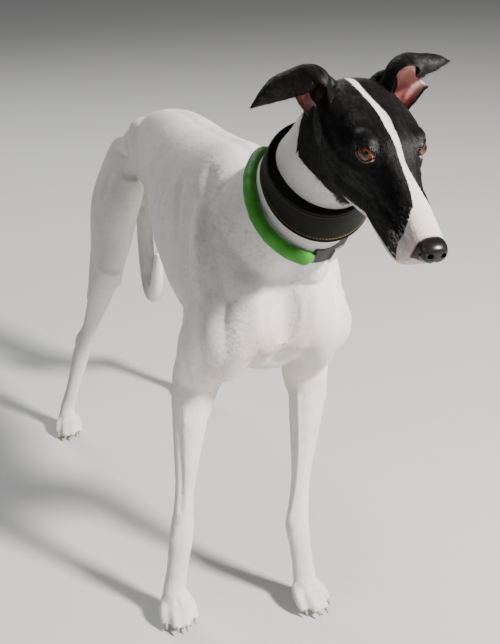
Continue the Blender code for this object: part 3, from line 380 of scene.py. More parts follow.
def curve_through(values, steps):
    """A Catmull-Rom curve through rows of values, with steps points for each span.

    Each point is a cubic in t, from the span's own two rows and the ones before and after.
    """
    rows = np.asarray(values, float)
    rows = np.vstack([2 * rows[0] - rows[1], rows, 2 * rows[-1] - rows[-2]])
    a, b, c, d = (rows[i:len(rows) - 3 + i, None] for i in range(4))
    t = (np.arange(steps) / steps)[None, :, None]
    spans = 0.5 * (2 * b + (c - a) * t + (2 * a - 5 * b + 4 * c - d) * t**2 + (3 * b - a - 3 * c + d) * t**3)
    return np.vstack([spans.reshape(-1, rows.shape[1]), rows[-2]])


def grid_faces(rows, columns, start=0):
    """Quads between neighbouring rows of a grid of points, closed round the columns."""
    i, j = np.meshgrid(np.arange(rows - 1), np.arange(columns), indexing="ij")
    k = (j + 1) % columns
    return (start + np.stack([i * columns + j, i * columns + k, (i + 1) * columns + k,
                              (i + 1) * columns + j], axis=-1)).reshape(-1, 4)


def fan(first, count, middle, back=False):
    """Triangles from a closed ring of count points, numbered from first, to the point numbered middle."""
    j = np.arange(count)
    k = (j + 1) % count
    near, far = (k, j) if back else (j, k)
    return np.stack([first + near, first + far, np.full(count, middle)], axis=-1)


# Meshes


def link(name, data):
    """Puts an object with this data into the scene."""
    obj = bpy.data.objects.new(name, data)
    bpy.context.scene.collection.objects.link(obj)
    return obj


def new_object(name, points, quads=(), triangles=(), shift=True):
    """An object with these points and faces, put into the scene."""
    points = np.asarray(points, float) + (SHIFT if shift else 0)
    quads, triangles = (np.asarray(f, int).reshape(-1, n) for f, n in ((quads, 4), (triangles, 3)))
    data = bpy.data.meshes.new(name)
    data.vertices.add(len(points))
    data.vertices.foreach_set("co", points.ravel())
    corners = np.concatenate([quads.ravel(), triangles.ravel()])
    starts = np.concatenate([np.arange(len(quads)) * 4, len(quads) * 4 + np.arange(len(triangles)) * 3])
    data.loops.add(len(corners))
    data.loops.foreach_set("vertex_index", corners)
    data.polygons.add(len(starts))
    data.polygons.foreach_set("loop_start", starts)
    data.update(calc_edges=True)
    data.validate()
    data.shade_smooth()
    return link(name, data)


def oval(side, front=None, back=None, power=2.0):
    """Half sizes of a section, sideways, to the front and to the back, and its squareness."""
    front = side if front is None else front
    return side, front, front if back is None else back, power


class Forms:
    """Closed swept forms gathered in one mesh. The methods that add one return the forms."""

    def __init__(self):
        self.points, self.quads, self.triangles = [], [], []
        self.count = 0

    def sweep(self, rings):
        """Joins rings of points by quads, and closes each end with a fan round its middle."""
        rings = np.asarray(rings, float)
        count, around = rings.shape[:2]
        start = self.count
        self.points.append(rings.reshape(-1, 3))
        self.quads.append(grid_faces(count, around, start))
        self.points.append(np.array([rings[0].mean(axis=0), rings[-1].mean(axis=0)]))
        middle = start + count * around
        self.triangles.append(fan(start, around, middle, back=True))
        self.triangles.append(fan(middle - around, around, middle + 1))
        self.count = middle + 2
        return self

    def limb(self, stations, towards, steps=5, around=28, plane=None):
        """Sweeps ovals along stations of centre, side, front and back half sizes and squareness p.

        A ring's points are side * cos^(2/p) across and front or back * sin^(2/p) towards the front.
        """
        rows = curve_through([[*centre, *oval(*sizes)] for centre, *sizes in stations], steps)
        centres = rows[:, :3]
        side, front, back, power = rows[:, 3:, None].transpose(1, 0, 2)
        along = unit(np.broadcast_to(plane, centres.shape) if plane is not None
                     else np.gradient(centres, axis=0))
        ahead = np.broadcast_to(np.asarray(towards, float), centres.shape)
        ahead = unit(ahead - along * np.sum(ahead * along, axis=1, keepdims=True))
        across = np.cross(ahead, along)
        turn = turns(around)[None]
        u = np.sign(np.cos(turn)) * np.abs(np.cos(turn)) ** (2 / power) * side
        v = np.sign(np.sin(turn)) * np.abs(np.sin(turn)) ** (2 / power)
        v = np.where(v > 0, v * front, v * back)
        return self.sweep(centres[:, None] + u[..., None] * across[:, None] + v[..., None] * ahead[:, None])

    def ball(self, centre, sizes, axis=(0, 0, 1), towards=(0, -1, 0), around=20):
        """An egg shape whose half sizes are side, front and along the axis."""
        side, front, along = sizes
        axis = unit(axis)
        return self.limb([(centre + axis * along * math.sin(t), side * math.cos(t), front * math.cos(t))
                          for t in np.linspace(-0.47, 0.47, 13) * math.pi], towards, steps=1, around=around)

    def object(self, name):
        return new_object(name, np.vstack(self.points), np.vstack(self.quads), np.vstack(self.triangles),
                          shift=False)

    def closed(self, name):
        """The forms as an object whose faces point outwards."""
        return outward(self.object(name))


def bake(obj):
    """Gives obj the mesh that its modifiers make, and takes the modifiers off."""
    bpy.context.view_layer.update()
    graph = bpy.context.evaluated_depsgraph_get()
    data = bpy.data.meshes.new_from_object(obj.evaluated_get(graph))
    obj.modifiers.clear()
    obj.data = data
    return obj


def boolean(obj, other, operation):
    """Joins other to obj or cuts it out of obj, and removes other."""
    step = obj.modifiers.new(operation.lower(), "BOOLEAN")
    step.operation = operation
    step.solver = "MANIFOLD"
    step.object = other
    bake(obj)
    bpy.data.objects.remove(other, do_unlink=True)
    return obj


def outward(obj):
    """Turns the faces of a closed mesh outwards."""
    work = bmesh.new()
    work.from_mesh(obj.data)
    bmesh.ops.recalc_face_normals(work, faces=work.faces)
    work.to_mesh(obj.data)
    work.free()
    return obj


def mesh_values(obj, what):
    found = np.empty(len(obj.data.vertices) * 3)
    obj.data.vertices.foreach_get(what, found)
    return found.reshape(-1, 3)


def points_of(obj):
    return mesh_values(obj, "co")


def normals_of(obj):
    return mesh_values(obj, "normal")


def set_points(obj, points):
    obj.data.vertices.foreach_set("co", np.asarray(points, float).ravel())
    obj.data.update()


def path_distance(points, path):
    """Distance of each point from a path of straight pieces."""
    path = np.asarray(path, float)
    nearest = np.full(len(points), 1e9)
    for start, end in zip(path, path[1:]):
        span = end - start
        share = np.clip((points - start) @ span / (span @ span), 0, 1)
        nearest = np.minimum(nearest, np.linalg.norm(points - (start + share[:, None] * span), axis=1))
    return nearest


def reshape(obj, strokes):
    """Moves points along their normals by depth * exp(-(distance / radius)^2) for each stroke's path."""
    points, normals = points_of(obj), normals_of(obj)
    moved = points.copy()
    for path, radius, depth in strokes:
        path = curve_through(path, 4)
        low, high = path.min(axis=0) - 3 * radius, path.max(axis=0) + 3 * radius
        near = np.flatnonzero(np.all((points > low) & (points < high), axis=1))
        fall = np.exp(-(path_distance(points[near], path) / radius) ** 2)
        moved[near] += normals[near] * (depth * fall)[:, None]
    set_points(obj, moved)


def soften(obj, weight, rounds):
    """Moves each point towards the mean of its neighbours, by its weight, for a number of rounds."""
    edges = np.empty(len(obj.data.edges) * 2, int)
    obj.data.edges.foreach_get("vertices", edges)
    first, second = edges.reshape(-1, 2).T
    points = points_of(obj)
    count = len(points)
    number = np.bincount(first, minlength=count) + np.bincount(second, minlength=count)
    for _ in range(rounds):
        total = np.stack([np.bincount(first, points[second, k], count)
                          + np.bincount(second, points[first, k], count) for k in range(3)], axis=-1)
        points += (total / np.maximum(number, 1)[:, None] - points) * weight[:, None]
    set_points(obj, points)


def merged(forms, name, voxel, smoothing):
    """One closed skin over overlapping forms, on cubes of voxel, smoothed."""
    obj = forms.object(name)
    remesh = obj.modifiers.new("merge", "REMESH")
    remesh.mode = "VOXEL"
    remesh.voxel_size = voxel
    smooth = obj.modifiers.new("smooth", "SMOOTH")
    smooth.factor = 0.5
    smooth.iterations = smoothing
    return bake(obj)


def thinned(obj, triangles):
    """Thins a mesh to a number of triangles, where it is flattest first."""
    obj.data.calc_loop_triangles()
    thin = obj.modifiers.new("thin", "DECIMATE")
    thin.ratio = min(1.0, triangles / len(obj.data.loop_triangles))
    return bake(obj)


# The dog's forms


def trunk_and_neck(forms):
    """Chest, loin and rump as one sweep along y, the neck, and the points of haunch and rump."""
    rows = []
    for y, top, bottom, half, power in TRUNK:
        middle = bottom + TRUNK_WIDEST * (top - bottom)
        rows.append(((0, y, middle), half, top - middle, middle - bottom, power))
    forms.limb(rows, UP, around=56, plane=(0, 1, 0))
    forms.limb(NECK, (0, 0.6, 0.8), around=44)
    for _, sign in SIDES:
        forms.ball((0.040 * sign, 0.508, 0.640), (0.028, 0.046, 0.030))
        forms.ball((0.042 * sign, 0.658, 0.566), (0.024, 0.028, 0.030))


def skull(forms):
    """Skull, lower jaw, upper lips and nose pad, with brows, cheekbones and chewing muscles."""
    ahead, _, crown = HEAD_AXES
    for table, power, around in ((SKULL, 2.45, 56), (JAW, 2.1, 44), (LIPS, 3.6, 44), (NOSE, 2.4, 40)):
        rows = []
        for forward, top, bottom, half in table:
            middle = 0.5 * (top + bottom)
            rows.append((on_head(forward, 0, middle), half, top - middle, middle - bottom, power))
        forms.limb(rows, crown, around=around, plane=ahead)
    for _, sign in SIDES:
        # Brow, cheekbone, and the chewing muscle behind it.
        forms.ball(on_head(0.100, 0.0275 * sign, -0.0155), (0.0155, 0.0200, 0.0122), crown, ahead)
        forms.limb((
            (on_head(0.1180, 0.0300 * sign, -0.0430), 0.0070),
            (on_head(0.0950, 0.0400 * sign, -0.0440), 0.0095, 0.0085),
            (on_head(0.0620, 0.0450 * sign, -0.0400), 0.0110, 0.0090),
            (on_head(0.0300, 0.0430 * sign, -0.0330), 0.0110, 0.0090),
        ), crown, around=20)
        forms.ball(on_head(0.050, 0.0250 * sign, -0.0740), (0.0180, 0.0300, 0.0260), crown, ahead)


def paw_axes(turn):
    """Forward and across of a paw that is turned by turn degrees."""
    angle = math.radians(turn)
    ahead = np.array((-math.sin(angle), -math.cos(angle), 0))
    return ahead, np.array((-ahead[1], ahead[0], 0))


def toes(forms, paw, turn, size):
    """Four toes side by side, the middle pair longer, with the pad behind them."""
    ahead, across = paw_axes(turn)
    for place, reach in TOE_PLACES:
        side = across * place * 0.0138 * size
        root = paw + side * 0.70 + ahead * -0.010 * size + UP * 0.036 * size
        knuckle = paw + side * 1.02 + ahead * (reach - 0.017) * size + UP * 0.0255 * size
        tip = paw + side * 1.08 + ahead * reach * size + UP * 0.0105 * size
        thick = 0.0088 * size
        forms.limb((
            (root, thick),
            (between(root, knuckle, 0.6), thick * 1.05, thick, thick * 1.1),
            (knuckle, thick * 1.08, thick, thick * 1.3),
            (between(knuckle, tip, 0.7), thick, thick * 0.9),
            (tip, thick * 0.7, thick * 0.6),
        ), ahead + UP, steps=4, around=20)
    forms.ball(paw - ahead * 0.004 + UP * 0.010 * size, (0.019 * size, 0.020 * size, 0.011 * size),
                towards=ahead)


def foreleg(forms, side, sign):
    """Shoulder, upper arm, forearm and paw of one side, each length a sweep between the named joints."""
    out = LEFT * sign
    shoulder, elbow, wrist, paw = at_side(side, SHOULDER, ELBOW, WRIST, FORE_PAW)
    blade_top = np.array((0.030 * sign, 0.085, 0.690))
    blade = between(blade_top, shoulder, 0.5)
    # The shoulder blade's muscles, from the withers to the point of the shoulder.
    forms.limb((
        (blade_top, 0.022, 0.030, 0.034),
        (blade + out * 0.016, 0.028, 0.044, 0.052),
        (shoulder + BACK * 0.024 + UP * 0.016, 0.030, 0.040, 0.046),
        (shoulder + FRONT * 0.002 - UP * 0.022, 0.024, 0.028, 0.030),
    ), (0, -1, 0.3))
    # The breast muscle, from the breastbone to the inside of the elbow.
    forms.limb((
        (np.array((0.030 * sign, -0.068, 0.560)), 0.030, 0.036),
        (np.array((0.052 * sign, -0.062, 0.500)), 0.036),
        (between((0.052 * sign, -0.062, 0.500), elbow, 0.55), 0.036, 0.034),
        (elbow - out * 0.014 - UP * 0.006, 0.029, 0.026),
        (elbow - out * 0.006 - UP * 0.060, 0.020, 0.019),
    ), FRONT)
    # The flesh over the point of the shoulder, between the blade's muscles and the breast's.
    forms.ball(shoulder + out * 0.008 + FRONT * 0.004 - UP * 0.018, (0.027, 0.024, 0.040))
    # The upper arm: the muscle behind it is thick above the elbow.
    forms.limb((
        (shoulder + BACK * 0.020 + UP * 0.020, 0.032, 0.038, 0.052),
        (between(shoulder, elbow, 0.35) + BACK * 0.012 + out * 0.006, 0.033, 0.038, 0.052),
        (between(shoulder, elbow, 0.72) + BACK * 0.010 - out * 0.001, 0.033, 0.034, 0.042),
        (elbow + UP * 0.004 - out * 0.001, 0.031, 0.028, 0.030),
        (elbow - UP * 0.030, 0.028, 0.024),
    ), (0, -1, 0.2))
    forms.ball(elbow + BACK * 0.028 + UP * 0.012 + out * 0.006, (0.010, 0.012, 0.018))
    # The forearm, wrist and the bones above the toes.
    heel = paw + BACK * 0.010 + UP * 0.046
    forms.limb((
        (elbow + UP * 0.010, 0.0295, 0.0270, 0.0280),
        (between(elbow, wrist, 0.12), 0.0295, 0.0270, 0.0280),
        (between(elbow, wrist, 0.28), 0.0262, 0.0245, 0.0260, 2.1),
        (between(elbow, wrist, 0.48), 0.0205, 0.0190, 0.0205, 2.1),
        (between(elbow, wrist, 0.70), 0.0155, 0.0145, 0.0155, 2.1),
        (between(elbow, wrist, 0.90), 0.0170, 0.0140, 0.0150, 2.2),
        (wrist, 0.0195, 0.0160, 0.0160, 2.3),
        (between(wrist, heel, 0.35), 0.0180, 0.0145, 0.0140, 2.3),
        (between(wrist, heel, 0.70), 0.0175, 0.0135, 0.0135, 2.3),
        (heel, 0.0195, 0.0150, 0.0140, 2.2),
        (paw + UP * 0.032 + FRONT * 0.002, 0.0200, 0.0170, 0.0150),
    ), FRONT)
    forms.ball(wrist + BACK * 0.016 - UP * 0.010, (0.008, 0.010, 0.012))
    toes(forms, paw, FORE_TOE_TURN[side], FORE_PAW_SIZE)


def hind_leg(forms, side, sign):
    """Thigh, ham, second thigh, hock and paw of one side."""
    out = LEFT * sign
    hip, stifle, hock, paw = at_side(side, HIP, STIFLE, HOCK, HIND_PAW)
    # The thigh: wide from front to back, flat from side to side.
    forms.limb((
        (hip + UP * 0.052 + FRONT * 0.012, 0.020, 0.044, 0.034),
        (hip + out * 0.004, 0.037, 0.074, 0.060),
        (between(hip, stifle, 0.40) + BACK * 0.014 + out * 0.004, 0.041, 0.072, 0.070),
        (between(hip, stifle, 0.78) + BACK * 0.018, 0.035, 0.052, 0.062),
        (stifle + BACK * 0.014 - UP * 0.006, 0.028, 0.034, 0.044),
        (stifle + BACK * 0.018 - UP * 0.045, 0.022, 0.024, 0.034),
    ), (0, -1, -0.25))
    # The ham behind the thigh.
    seat = np.array((hip[0] * 0.76, 0.652, 0.550))
    forms.limb((
        (seat + UP * 0.020, 0.026, 0.034, 0.024),
        (between(seat, stifle, 0.30) + BACK * 0.014 + out * 0.004, 0.034, 0.050, 0.034),
        (between(seat, stifle, 0.62) + BACK * 0.034 + out * 0.004, 0.033, 0.050, 0.034),
        (between(stifle, hock, 0.20) + BACK * 0.026, 0.025, 0.032, 0.030),
        (between(stifle, hock, 0.45) + BACK * 0.022, 0.017, 0.022, 0.020),
    ), (0, -1, -0.4))
    # The second thigh with the calf, the hock, and the long bones above the toes.
    heel = paw + BACK * 0.012 + UP * 0.044
    forms.limb((
        (stifle + FRONT * 0.002, 0.0260, 0.0280, 0.0380),
        (between(stifle, hock, 0.18), 0.0250, 0.0250, 0.0340),
        (between(stifle, hock, 0.42), 0.0215, 0.0200, 0.0280),
        (between(stifle, hock, 0.68), 0.0155, 0.0150, 0.0190),
        (between(stifle, hock, 0.88), 0.0140, 0.0145, 0.0170, 2.1),
        (hock, 0.0165, 0.0170, 0.0180, 2.3),
        (between(hock, heel, 0.25), 0.0155, 0.0150, 0.0150, 2.3),
        (between(hock, heel, 0.60), 0.0135, 0.0125, 0.0125, 2.3),
        (heel, 0.0160, 0.0140, 0.0130, 2.2),
        (paw + UP * 0.028 + FRONT * 0.004, 0.0180, 0.0160, 0.0140),
    ), FRONT)
    # The cord above the heel bone, and the bone itself.
    heel_bone = hock + BACK * 0.026 + UP * 0.010
    forms.limb((
        (between(stifle, hock, 0.45) + BACK * 0.030, 0.0090, 0.0100, 0.0090),
        (between(stifle, hock, 0.75) + BACK * 0.030, 0.0065, 0.0070, 0.0065),
        (heel_bone, 0.0095, 0.0110, 0.0085),
        (hock - UP * 0.030 + BACK * 0.010, 0.0080, 0.0090, 0.0080),
    ), FRONT, around=20)
    toes(forms, paw, HIND_TOE_TURN[side], HIND_PAW_SIZE)


def body_forms():
    forms = Forms()
    trunk_and_neck(forms)
    for side, sign in SIDES:
        foreleg(forms, side, sign)
        hind_leg(forms, side, sign)
    return forms.limb(TAIL, LEFT)


def mirrored(path, sign):
    """A path of the dog's left side, or turned over to its right where sign is -1."""
    return [(x * sign, y, z) for x, y, z in path]


def body_strokes():
    """Ridges and furrows of the muscles, ribs, cords and veins: path, radius and depth."""
    found = [
        # The back's furrow over the spine, and the hollow of the breast between its two muscles.
        ([(0, 0.05, 0.725), (0, 0.30, 0.708), (0, 0.46, 0.694)], 0.010, -0.0030),
        ([(0, -0.12, 0.60), (0, -0.11, 0.55), (0, -0.10, 0.50), (0, -0.085, 0.46)], 0.021, -0.0135),
    ]
    for side, sign in SIDES:
        found += [(mirrored(path, sign), radius, depth) for path, radius, depth in (
            # The shoulder blade's ridge with a muscle on either side of it.
            ([(0.058, 0.060, 0.694), (0.078, -0.008, 0.634), (0.094, -0.054, 0.572)], 0.013, -0.0042),
            ([(0.080, 0.030, 0.655), (0.094, -0.016, 0.612), (0.104, -0.046, 0.570)], 0.013, 0.0030),
            ([(0.050, 0.010, 0.662), (0.064, -0.040, 0.618), (0.074, -0.070, 0.570)], 0.015, 0.0030),
            ([(0.080, 0.125, 0.660), (0.115, 0.085, 0.560), (0.120, 0.075, 0.460)], 0.012, -0.0050),
            # The furrows behind the upper arm and down the front of it, and the cords below them.
            ([(0.110, -0.040, 0.545), (0.117, -0.018, 0.480), (0.113, 0.006, 0.395)], 0.009, -0.0034),
            ([(0.101, -0.062, 0.520), (0.096, -0.044, 0.450), (0.098, -0.006, 0.350)], 0.009, -0.0018),
            ([(0.084, -0.072, 0.510), (0.082, -0.048, 0.440), (0.088, -0.012, 0.370)], 0.009, -0.0018),
            ([(0.110, -0.030, 0.450), (0.110, -0.004, 0.395), (0.112, 0.010, 0.340)], 0.0050, 0.0018),
            # The breast muscle's inner edge, and the neck's furrow down to the breastbone.
            ([(0.040, -0.110, 0.585), (0.036, -0.104, 0.530), (0.030, -0.092, 0.490)], 0.013, 0.0045),
            ([(0.060, -0.110, 0.660), (0.052, -0.120, 0.600)], 0.014, -0.0030),
            ([(0.058, -0.092, 0.580), (0.065, -0.076, 0.515), (0.072, -0.054, 0.440)], 0.024, 0.0085),
            # The flank before the thigh, the fold of its skin, and the furrow between thigh and ham.
            ([(0.070, 0.490, 0.640), (0.085, 0.455, 0.560), (0.075, 0.440, 0.490)], 0.016, -0.0050),
            ([(0.090, 0.505, 0.600), (0.105, 0.470, 0.520), (0.095, 0.460, 0.460)], 0.008, 0.0024),
            ([(0.100, 0.620, 0.560), (0.125, 0.600, 0.460), (0.120, 0.560, 0.390)], 0.009, -0.0034),
            ([(0.095, 0.545, 0.580), (0.120, 0.530, 0.490), (0.118, 0.530, 0.420)], 0.008, -0.0018),
        )]
        # The ribs show as low ridges on the side of the chest.
        found += [(mirrored([(0.085, y, 0.640), (0.100, y + 0.022, 0.540), (0.070, y + 0.010, 0.450)], sign),
                   0.0075, 0.0013) for y in np.arange(0.165, 0.380, 0.030)]
        # Down each limb: the forearm's vein and furrow, and the cords of the second thigh.
        elbow, wrist, stifle, hock = at_side(side, ELBOW, WRIST, STIFLE, HOCK)
        for first, last, radius, depth, places in (
            (elbow, wrist, 0.0036, 0.0024, ((0.15, -0.022, 0.018), (0.42, -0.015, 0.016),
                                            (0.70, -0.012, 0.012), (0.95, -0.016, 0.006))),
            (elbow, wrist, 0.0045, -0.0028, ((0.25, 0.019, 0.014), (0.50, 0.012, 0.013),
                                             (0.80, 0.008, 0.014))),
            (elbow, wrist, 0.0055, -0.0032, ((0.20, 0.025, -0.010), (0.50, 0.017, -0.010),
                                             (0.85, 0.014, -0.010))),
            (stifle, hock, 0.0060, -0.0034, ((0.15, 0.024, -0.016), (0.45, 0.020, -0.014),
                                             (0.75, 0.012, -0.012))),
        ):
            path = [between(first, last, t) + LEFT * sign * out + FRONT * ahead for t, out, ahead in places]
            found.append((path, radius, depth))
    return found


def body_skin():
    """The body's forms merged, with its muscles, softened creases and soles flat on the floor."""
    skin = merged(body_forms(), "skin", BODY_VOXEL, BODY_SMOOTHING)
    reshape(skin, body_strokes())
    points, weight = points_of(skin), 0
    soft = [(STIFLE[side], STIFLE_SOFTNESS) for side, _ in SIDES]
    soft += [(np.array(spot) * (sign, 1, 1), size) for _, sign in SIDES for spot, size in SOFT_PLACES]
    for place, radius in soft:
        near = np.exp(-(np.linalg.norm(points - place, axis=1) / radius) ** 2)
        weight = np.maximum(weight, SOFTENING * near)
    soften(skin, weight, SOFTENING_ROUNDS)
    points = points_of(skin) - normals_of(skin) * COAT_DEPTH
    points[:, 2] = np.maximum(points[:, 2], 0)
    set_points(skin, points)
    return thinned(skin, BODY_TRIANGLES)


def head_forms():
    """Skull, jaws and neck, with a shell of lids round each eye and a mound at each ear's root."""
    forms = Forms()
    skull(forms)
    forms.limb(NECK[1:], (0, 0.6, 0.8), around=48)
    for _, sign in SIDES:
        centre, gaze = eye_place(sign)
        forms.ball(centre, (EYE_RADIUS + LID_THICKNESS,) * 3, gaze, head_way(0, 0, 1), around=32)
        forms.ball(on_head(-0.004, 0.036 * sign, -0.022), (0.018, 0.016, 0.022),
                   head_way(-0.2, 0.6 * sign, 0.8), head_way(1, 0, 0))
    return forms


def eye_place(sign):
    """Centre of the eye on that side, and the way it looks."""
    return on_head(*on_side(EYE_CENTRE, sign)), unit(head_way(*on_side(EYE_GAZE, sign)))


def eye_frame(sign):
    """Axes of the opening between the lids: along it, across it and out of it."""
    _, gaze = eye_place(sign)
    slant = head_way(*on_side(EYE_SLANT, sign))
    wide = unit(slant - gaze * (slant @ gaze))
    tall = np.cross(gaze, wide)
    return wide, tall * np.sign(tall @ UP), gaze


def head_strokes():
    """Folds, furrows and veins of the head, the same on both sides: path in the head, radius and depth."""
    found = [
        # The furrow down the forehead, and the groove under the nose pad.
        ([(0.020, 0, 0.000), (0.060, 0, 0.001), (0.100, 0, -0.002)], 0.0060, -0.0016),
        ([(0.247, 0, -0.062), (0.240, 0, -0.069), (0.236, 0, -0.076)], 0.0016, -0.0016),
    ]
    for _, sign in SIDES:
        found += [([on_side(p, sign) for p in path], radius, depth) for path, radius, depth in (
            # The brow's ridge, the furrow over the upper lid, and the folds under the lower lid.
            ([(0.088, 0.038, -0.011), (0.102, 0.034, -0.005), (0.116, 0.026, -0.007)], 0.0060, 0.0004),
            ([(0.104, 0.043, -0.014), (0.115, 0.039, -0.007), (0.127, 0.030, -0.011)], 0.0024, -0.0009),
            ([(0.100, 0.045, -0.030), (0.112, 0.044, -0.036), (0.126, 0.036, -0.036), (0.138, 0.026, -0.030)],
             0.0024, -0.0010),
            ([(0.104, 0.045, -0.040), (0.120, 0.039, -0.042), (0.138, 0.029, -0.036)], 0.0030, 0.0008),
            # The hollow before the eye, and the ridge of the cheekbone running forward.
            ([(0.136, 0.022, -0.026), (0.160, 0.020, -0.036)], 0.0080, -0.0018),
            ([(0.090, 0.046, -0.048), (0.120, 0.036, -0.053), (0.150, 0.027, -0.058)], 0.0045, 0.0012),
            # The vein and the folds that run down the cheek.
            ([(0.100, 0.042, -0.056), (0.120, 0.036, -0.064), (0.150, 0.028, -0.070)], 0.0022, 0.0010),
            ([(0.085, 0.043, -0.062), (0.110, 0.037, -0.074), (0.135, 0.030, -0.084)], 0.0035, -0.0012),
            ([(0.070, 0.048, -0.048), (0.090, 0.045, -0.060), (0.105, 0.040, -0.070)], 0.0040, 0.0010),
            ([(0.120, 0.031, -0.078), (0.150, 0.028, -0.080), (0.185, 0.026, -0.078)], 0.0040, -0.0007),
            # The chewing muscle's edge.
            ([(0.030, 0.040, -0.104), (0.060, 0.040, -0.096), (0.082, 0.042, -0.076)], 0.0050, -0.0014),
            # The pad of the whiskers, and the edge of the upper lip.
            ([(0.200, 0.024, -0.068), (0.220, 0.020, -0.070)], 0.0080, 0.0010),
            ([(0.160, 0.028, -0.0865), (0.195, 0.026, -0.0865), (0.222, 0.021, -0.0805)], 0.0022, 0.0007),
            # The furrow between the nose pad and the lip.
            ([(0.231, 0.018, -0.047), (0.236, 0.0185, -0.060), (0.240, 0.013, -0.067)], 0.0018, -0.0012),
        )]
    return [([on_head(*p) for p in path], radius, depth) for path, radius, depth in found]


def slit(sign):
    """The cutter between the lids: an almond, |sin|^1.5 high, drawn out along the gaze."""
    centre, _ = eye_place(sign)
    wide, tall, gaze = eye_frame(sign)
    turn = turns(48)
    u = np.cos(turn) * EYE_OPENING[0]
    v = np.sin(turn) * EYE_OPENING[1] * np.sqrt(np.abs(np.sin(turn)))
    flat = np.outer(u, wide) + np.outer(v, tall)
    rings = [centre + gaze * reach + flat * grow for reach, grow in ((0.002, 0.92), (0.024, 1.1))]
    return Forms().sweep(rings).closed("slit")


def socket(sign):
    """The cutter of the hollow that the eyeball fills."""
    centre, gaze = eye_place(sign)
    size = EYE_RADIUS + 0.0001
    return Forms().ball(centre, (size, size, size), gaze, head_way(0, 0, 1), around=48).closed("socket")


def caruncle(sign):
    """The small pink lump in the inner corner of the eye."""
    centre, _ = eye_place(sign)
    wide, tall, gaze = eye_frame(sign)
    corner = centre + wide * 0.0104 - tall * 0.0006 + gaze * 0.0054
    sizes = (0.0024, 0.0020, 0.0026)
    return Forms().ball(corner, sizes, gaze, head_way(0, 0, 1), around=16).closed("caruncle")


def mouth_line(steps):
    """The line of the mouth from one corner round the front to the other, in the head."""
    half = np.array(MOUTH_LINE)
    return curve_through(np.vstack([half[:0:-1] * (1, -1, 1), half]), steps)


def mouth_wedge():
    """A thin wedge that runs along the line of the mouth and into the head."""
    line = mouth_line(5)
    way = np.gradient(line, axis=0)
    out = unit(np.stack([way[:, 1], -way[:, 0], np.zeros(len(way))], axis=1))
    out *= np.where(out[:, 0] + 0.4 * out[:, 1] * np.sign(line[:, 1]) > 0, 1, -1)[:, None]
    corners = ((0.006, 0.0011), (-0.0035, 0.0003), (-0.0035, -0.0003), (0.006, -0.0011))
    rings = np.stack([line + out * reach + (0, 0, rise) for reach, rise in corners], axis=1)
    return Forms().sweep(HEAD_ORIGIN + rings @ HEAD_AXES).closed("mouth")


def nostrils():
    """Comma-shaped hollows in the nose pad, one on each side."""
    forms = Forms()
    for _, sign in SIDES:
        forms.limb([(on_head(f, l * sign, u), r, r * 1.15) for f, l, u, r in (
            (0.2510, 0.0062, -0.0525, 0.0026), (0.2440, 0.0080, -0.0530, 0.0031),
            (0.2400, 0.0108, -0.0540, 0.0027), (0.2385, 0.0150, -0.0555, 0.0018),
            (0.2370, 0.0200, -0.0575, 0.0016))], head_way(0, 0, 1), steps=3, around=16)
    return forms.closed("nostrils")


def ear_grid(side):
    """Points of the ear's back and of its inside, on a grid of EAR_ROWS by EAR_COLUMNS.

    The back is an arc of a circle round the cup at each place along the ear; the inside lies a thickness
    further in, thinner at the rims, with folds that run up from the ear's root.
    """
    rows = curve_through([[*c, *d, r, a] for c, d, r, a in EARS[side]], 12)
    pick = np.linspace(0, len(rows) - 1, EAR_ROWS)
    rows = np.stack([np.interp(pick, np.arange(len(rows)), column) for column in rows.T], axis=1)
    spine = HEAD_ORIGIN + rows[:, :3] @ HEAD_AXES
    cup = rows[:, 3:6] @ HEAD_AXES
    way = unit(np.gradient(spine, axis=0))
    cup = unit(cup - way * np.sum(cup * way, axis=1, keepdims=True))
    side_way = np.cross(way, cup)
    share = np.linspace(-1, 1, EAR_COLUMNS)[None]
    place = np.linspace(0, 1, EAR_ROWS)[:, None]
    angle = np.radians(rows[:, 7])[:, None] * share
    radius = rows[:, 6][:, None]
    rim = 1 - np.abs(share) ** 6
    fold = sum(height * np.exp(-((share - middle - lean * (place - 0.2)) / width) ** 2)
               for middle, lean, width, height in EAR_FOLDS)
    fold = fold * ramp(place, 0.02, 0.12) * (1 - ramp(place, 0.30, 0.62)) * (1 - np.abs(share) ** 4)
    layers = []
    for inner in (0, 1):
        inset = inner * ((EAR_THICKNESS - 2 * COAT_DEPTH) * (0.35 + 0.65 * rim) + fold) + COAT_DEPTH
        inset = np.minimum(inset, 0.8 * radius)
        reach = radius - inset
        layers.append(spine[:, None] + (reach * np.sin(angle))[..., None] * side_way[:, None]
                      + (radius - reach * np.cos(angle))[..., None] * cup[:, None])
    return layers


def ear_leaf(side):
    """The closed leaf of one ear: back and inside, joined along the rims and across both ends."""
    rings = np.concatenate([layer[:, ::step] for layer, step in zip(ear_grid(side), (1, -1))], axis=1)
    rows, around = rings.shape[:2]
    j = np.arange(around // 2 - 1)
    strip = np.stack([j, j + 1, around - 2 - j, around - 1 - j], axis=-1)
    quads = np.vstack([grid_faces(rows, around), strip, strip + (rows - 1) * around])
    return outward(new_object("ear_" + side, rings.reshape(-1, 3), quads, shift=False))


def half_space(point, way):
    """A large closed block on the far side of a plane through point, in the direction of way."""
    way = unit(way)
    first = unit(np.cross(way, LEFT))
    second = np.cross(way, first)
    corner = np.array([(i, j, k) for i in (-1, 1) for j in (-1, 1) for k in (0, 1)], float)
    points = point + corner @ np.array((first, second, way))
    quads = ((0, 1, 3, 2), (4, 5, 7, 6), (0, 1, 5, 4), (2, 3, 7, 6), (0, 2, 6, 4), (1, 3, 7, 5))
    return outward(new_object("block", points, quads, shift=False))


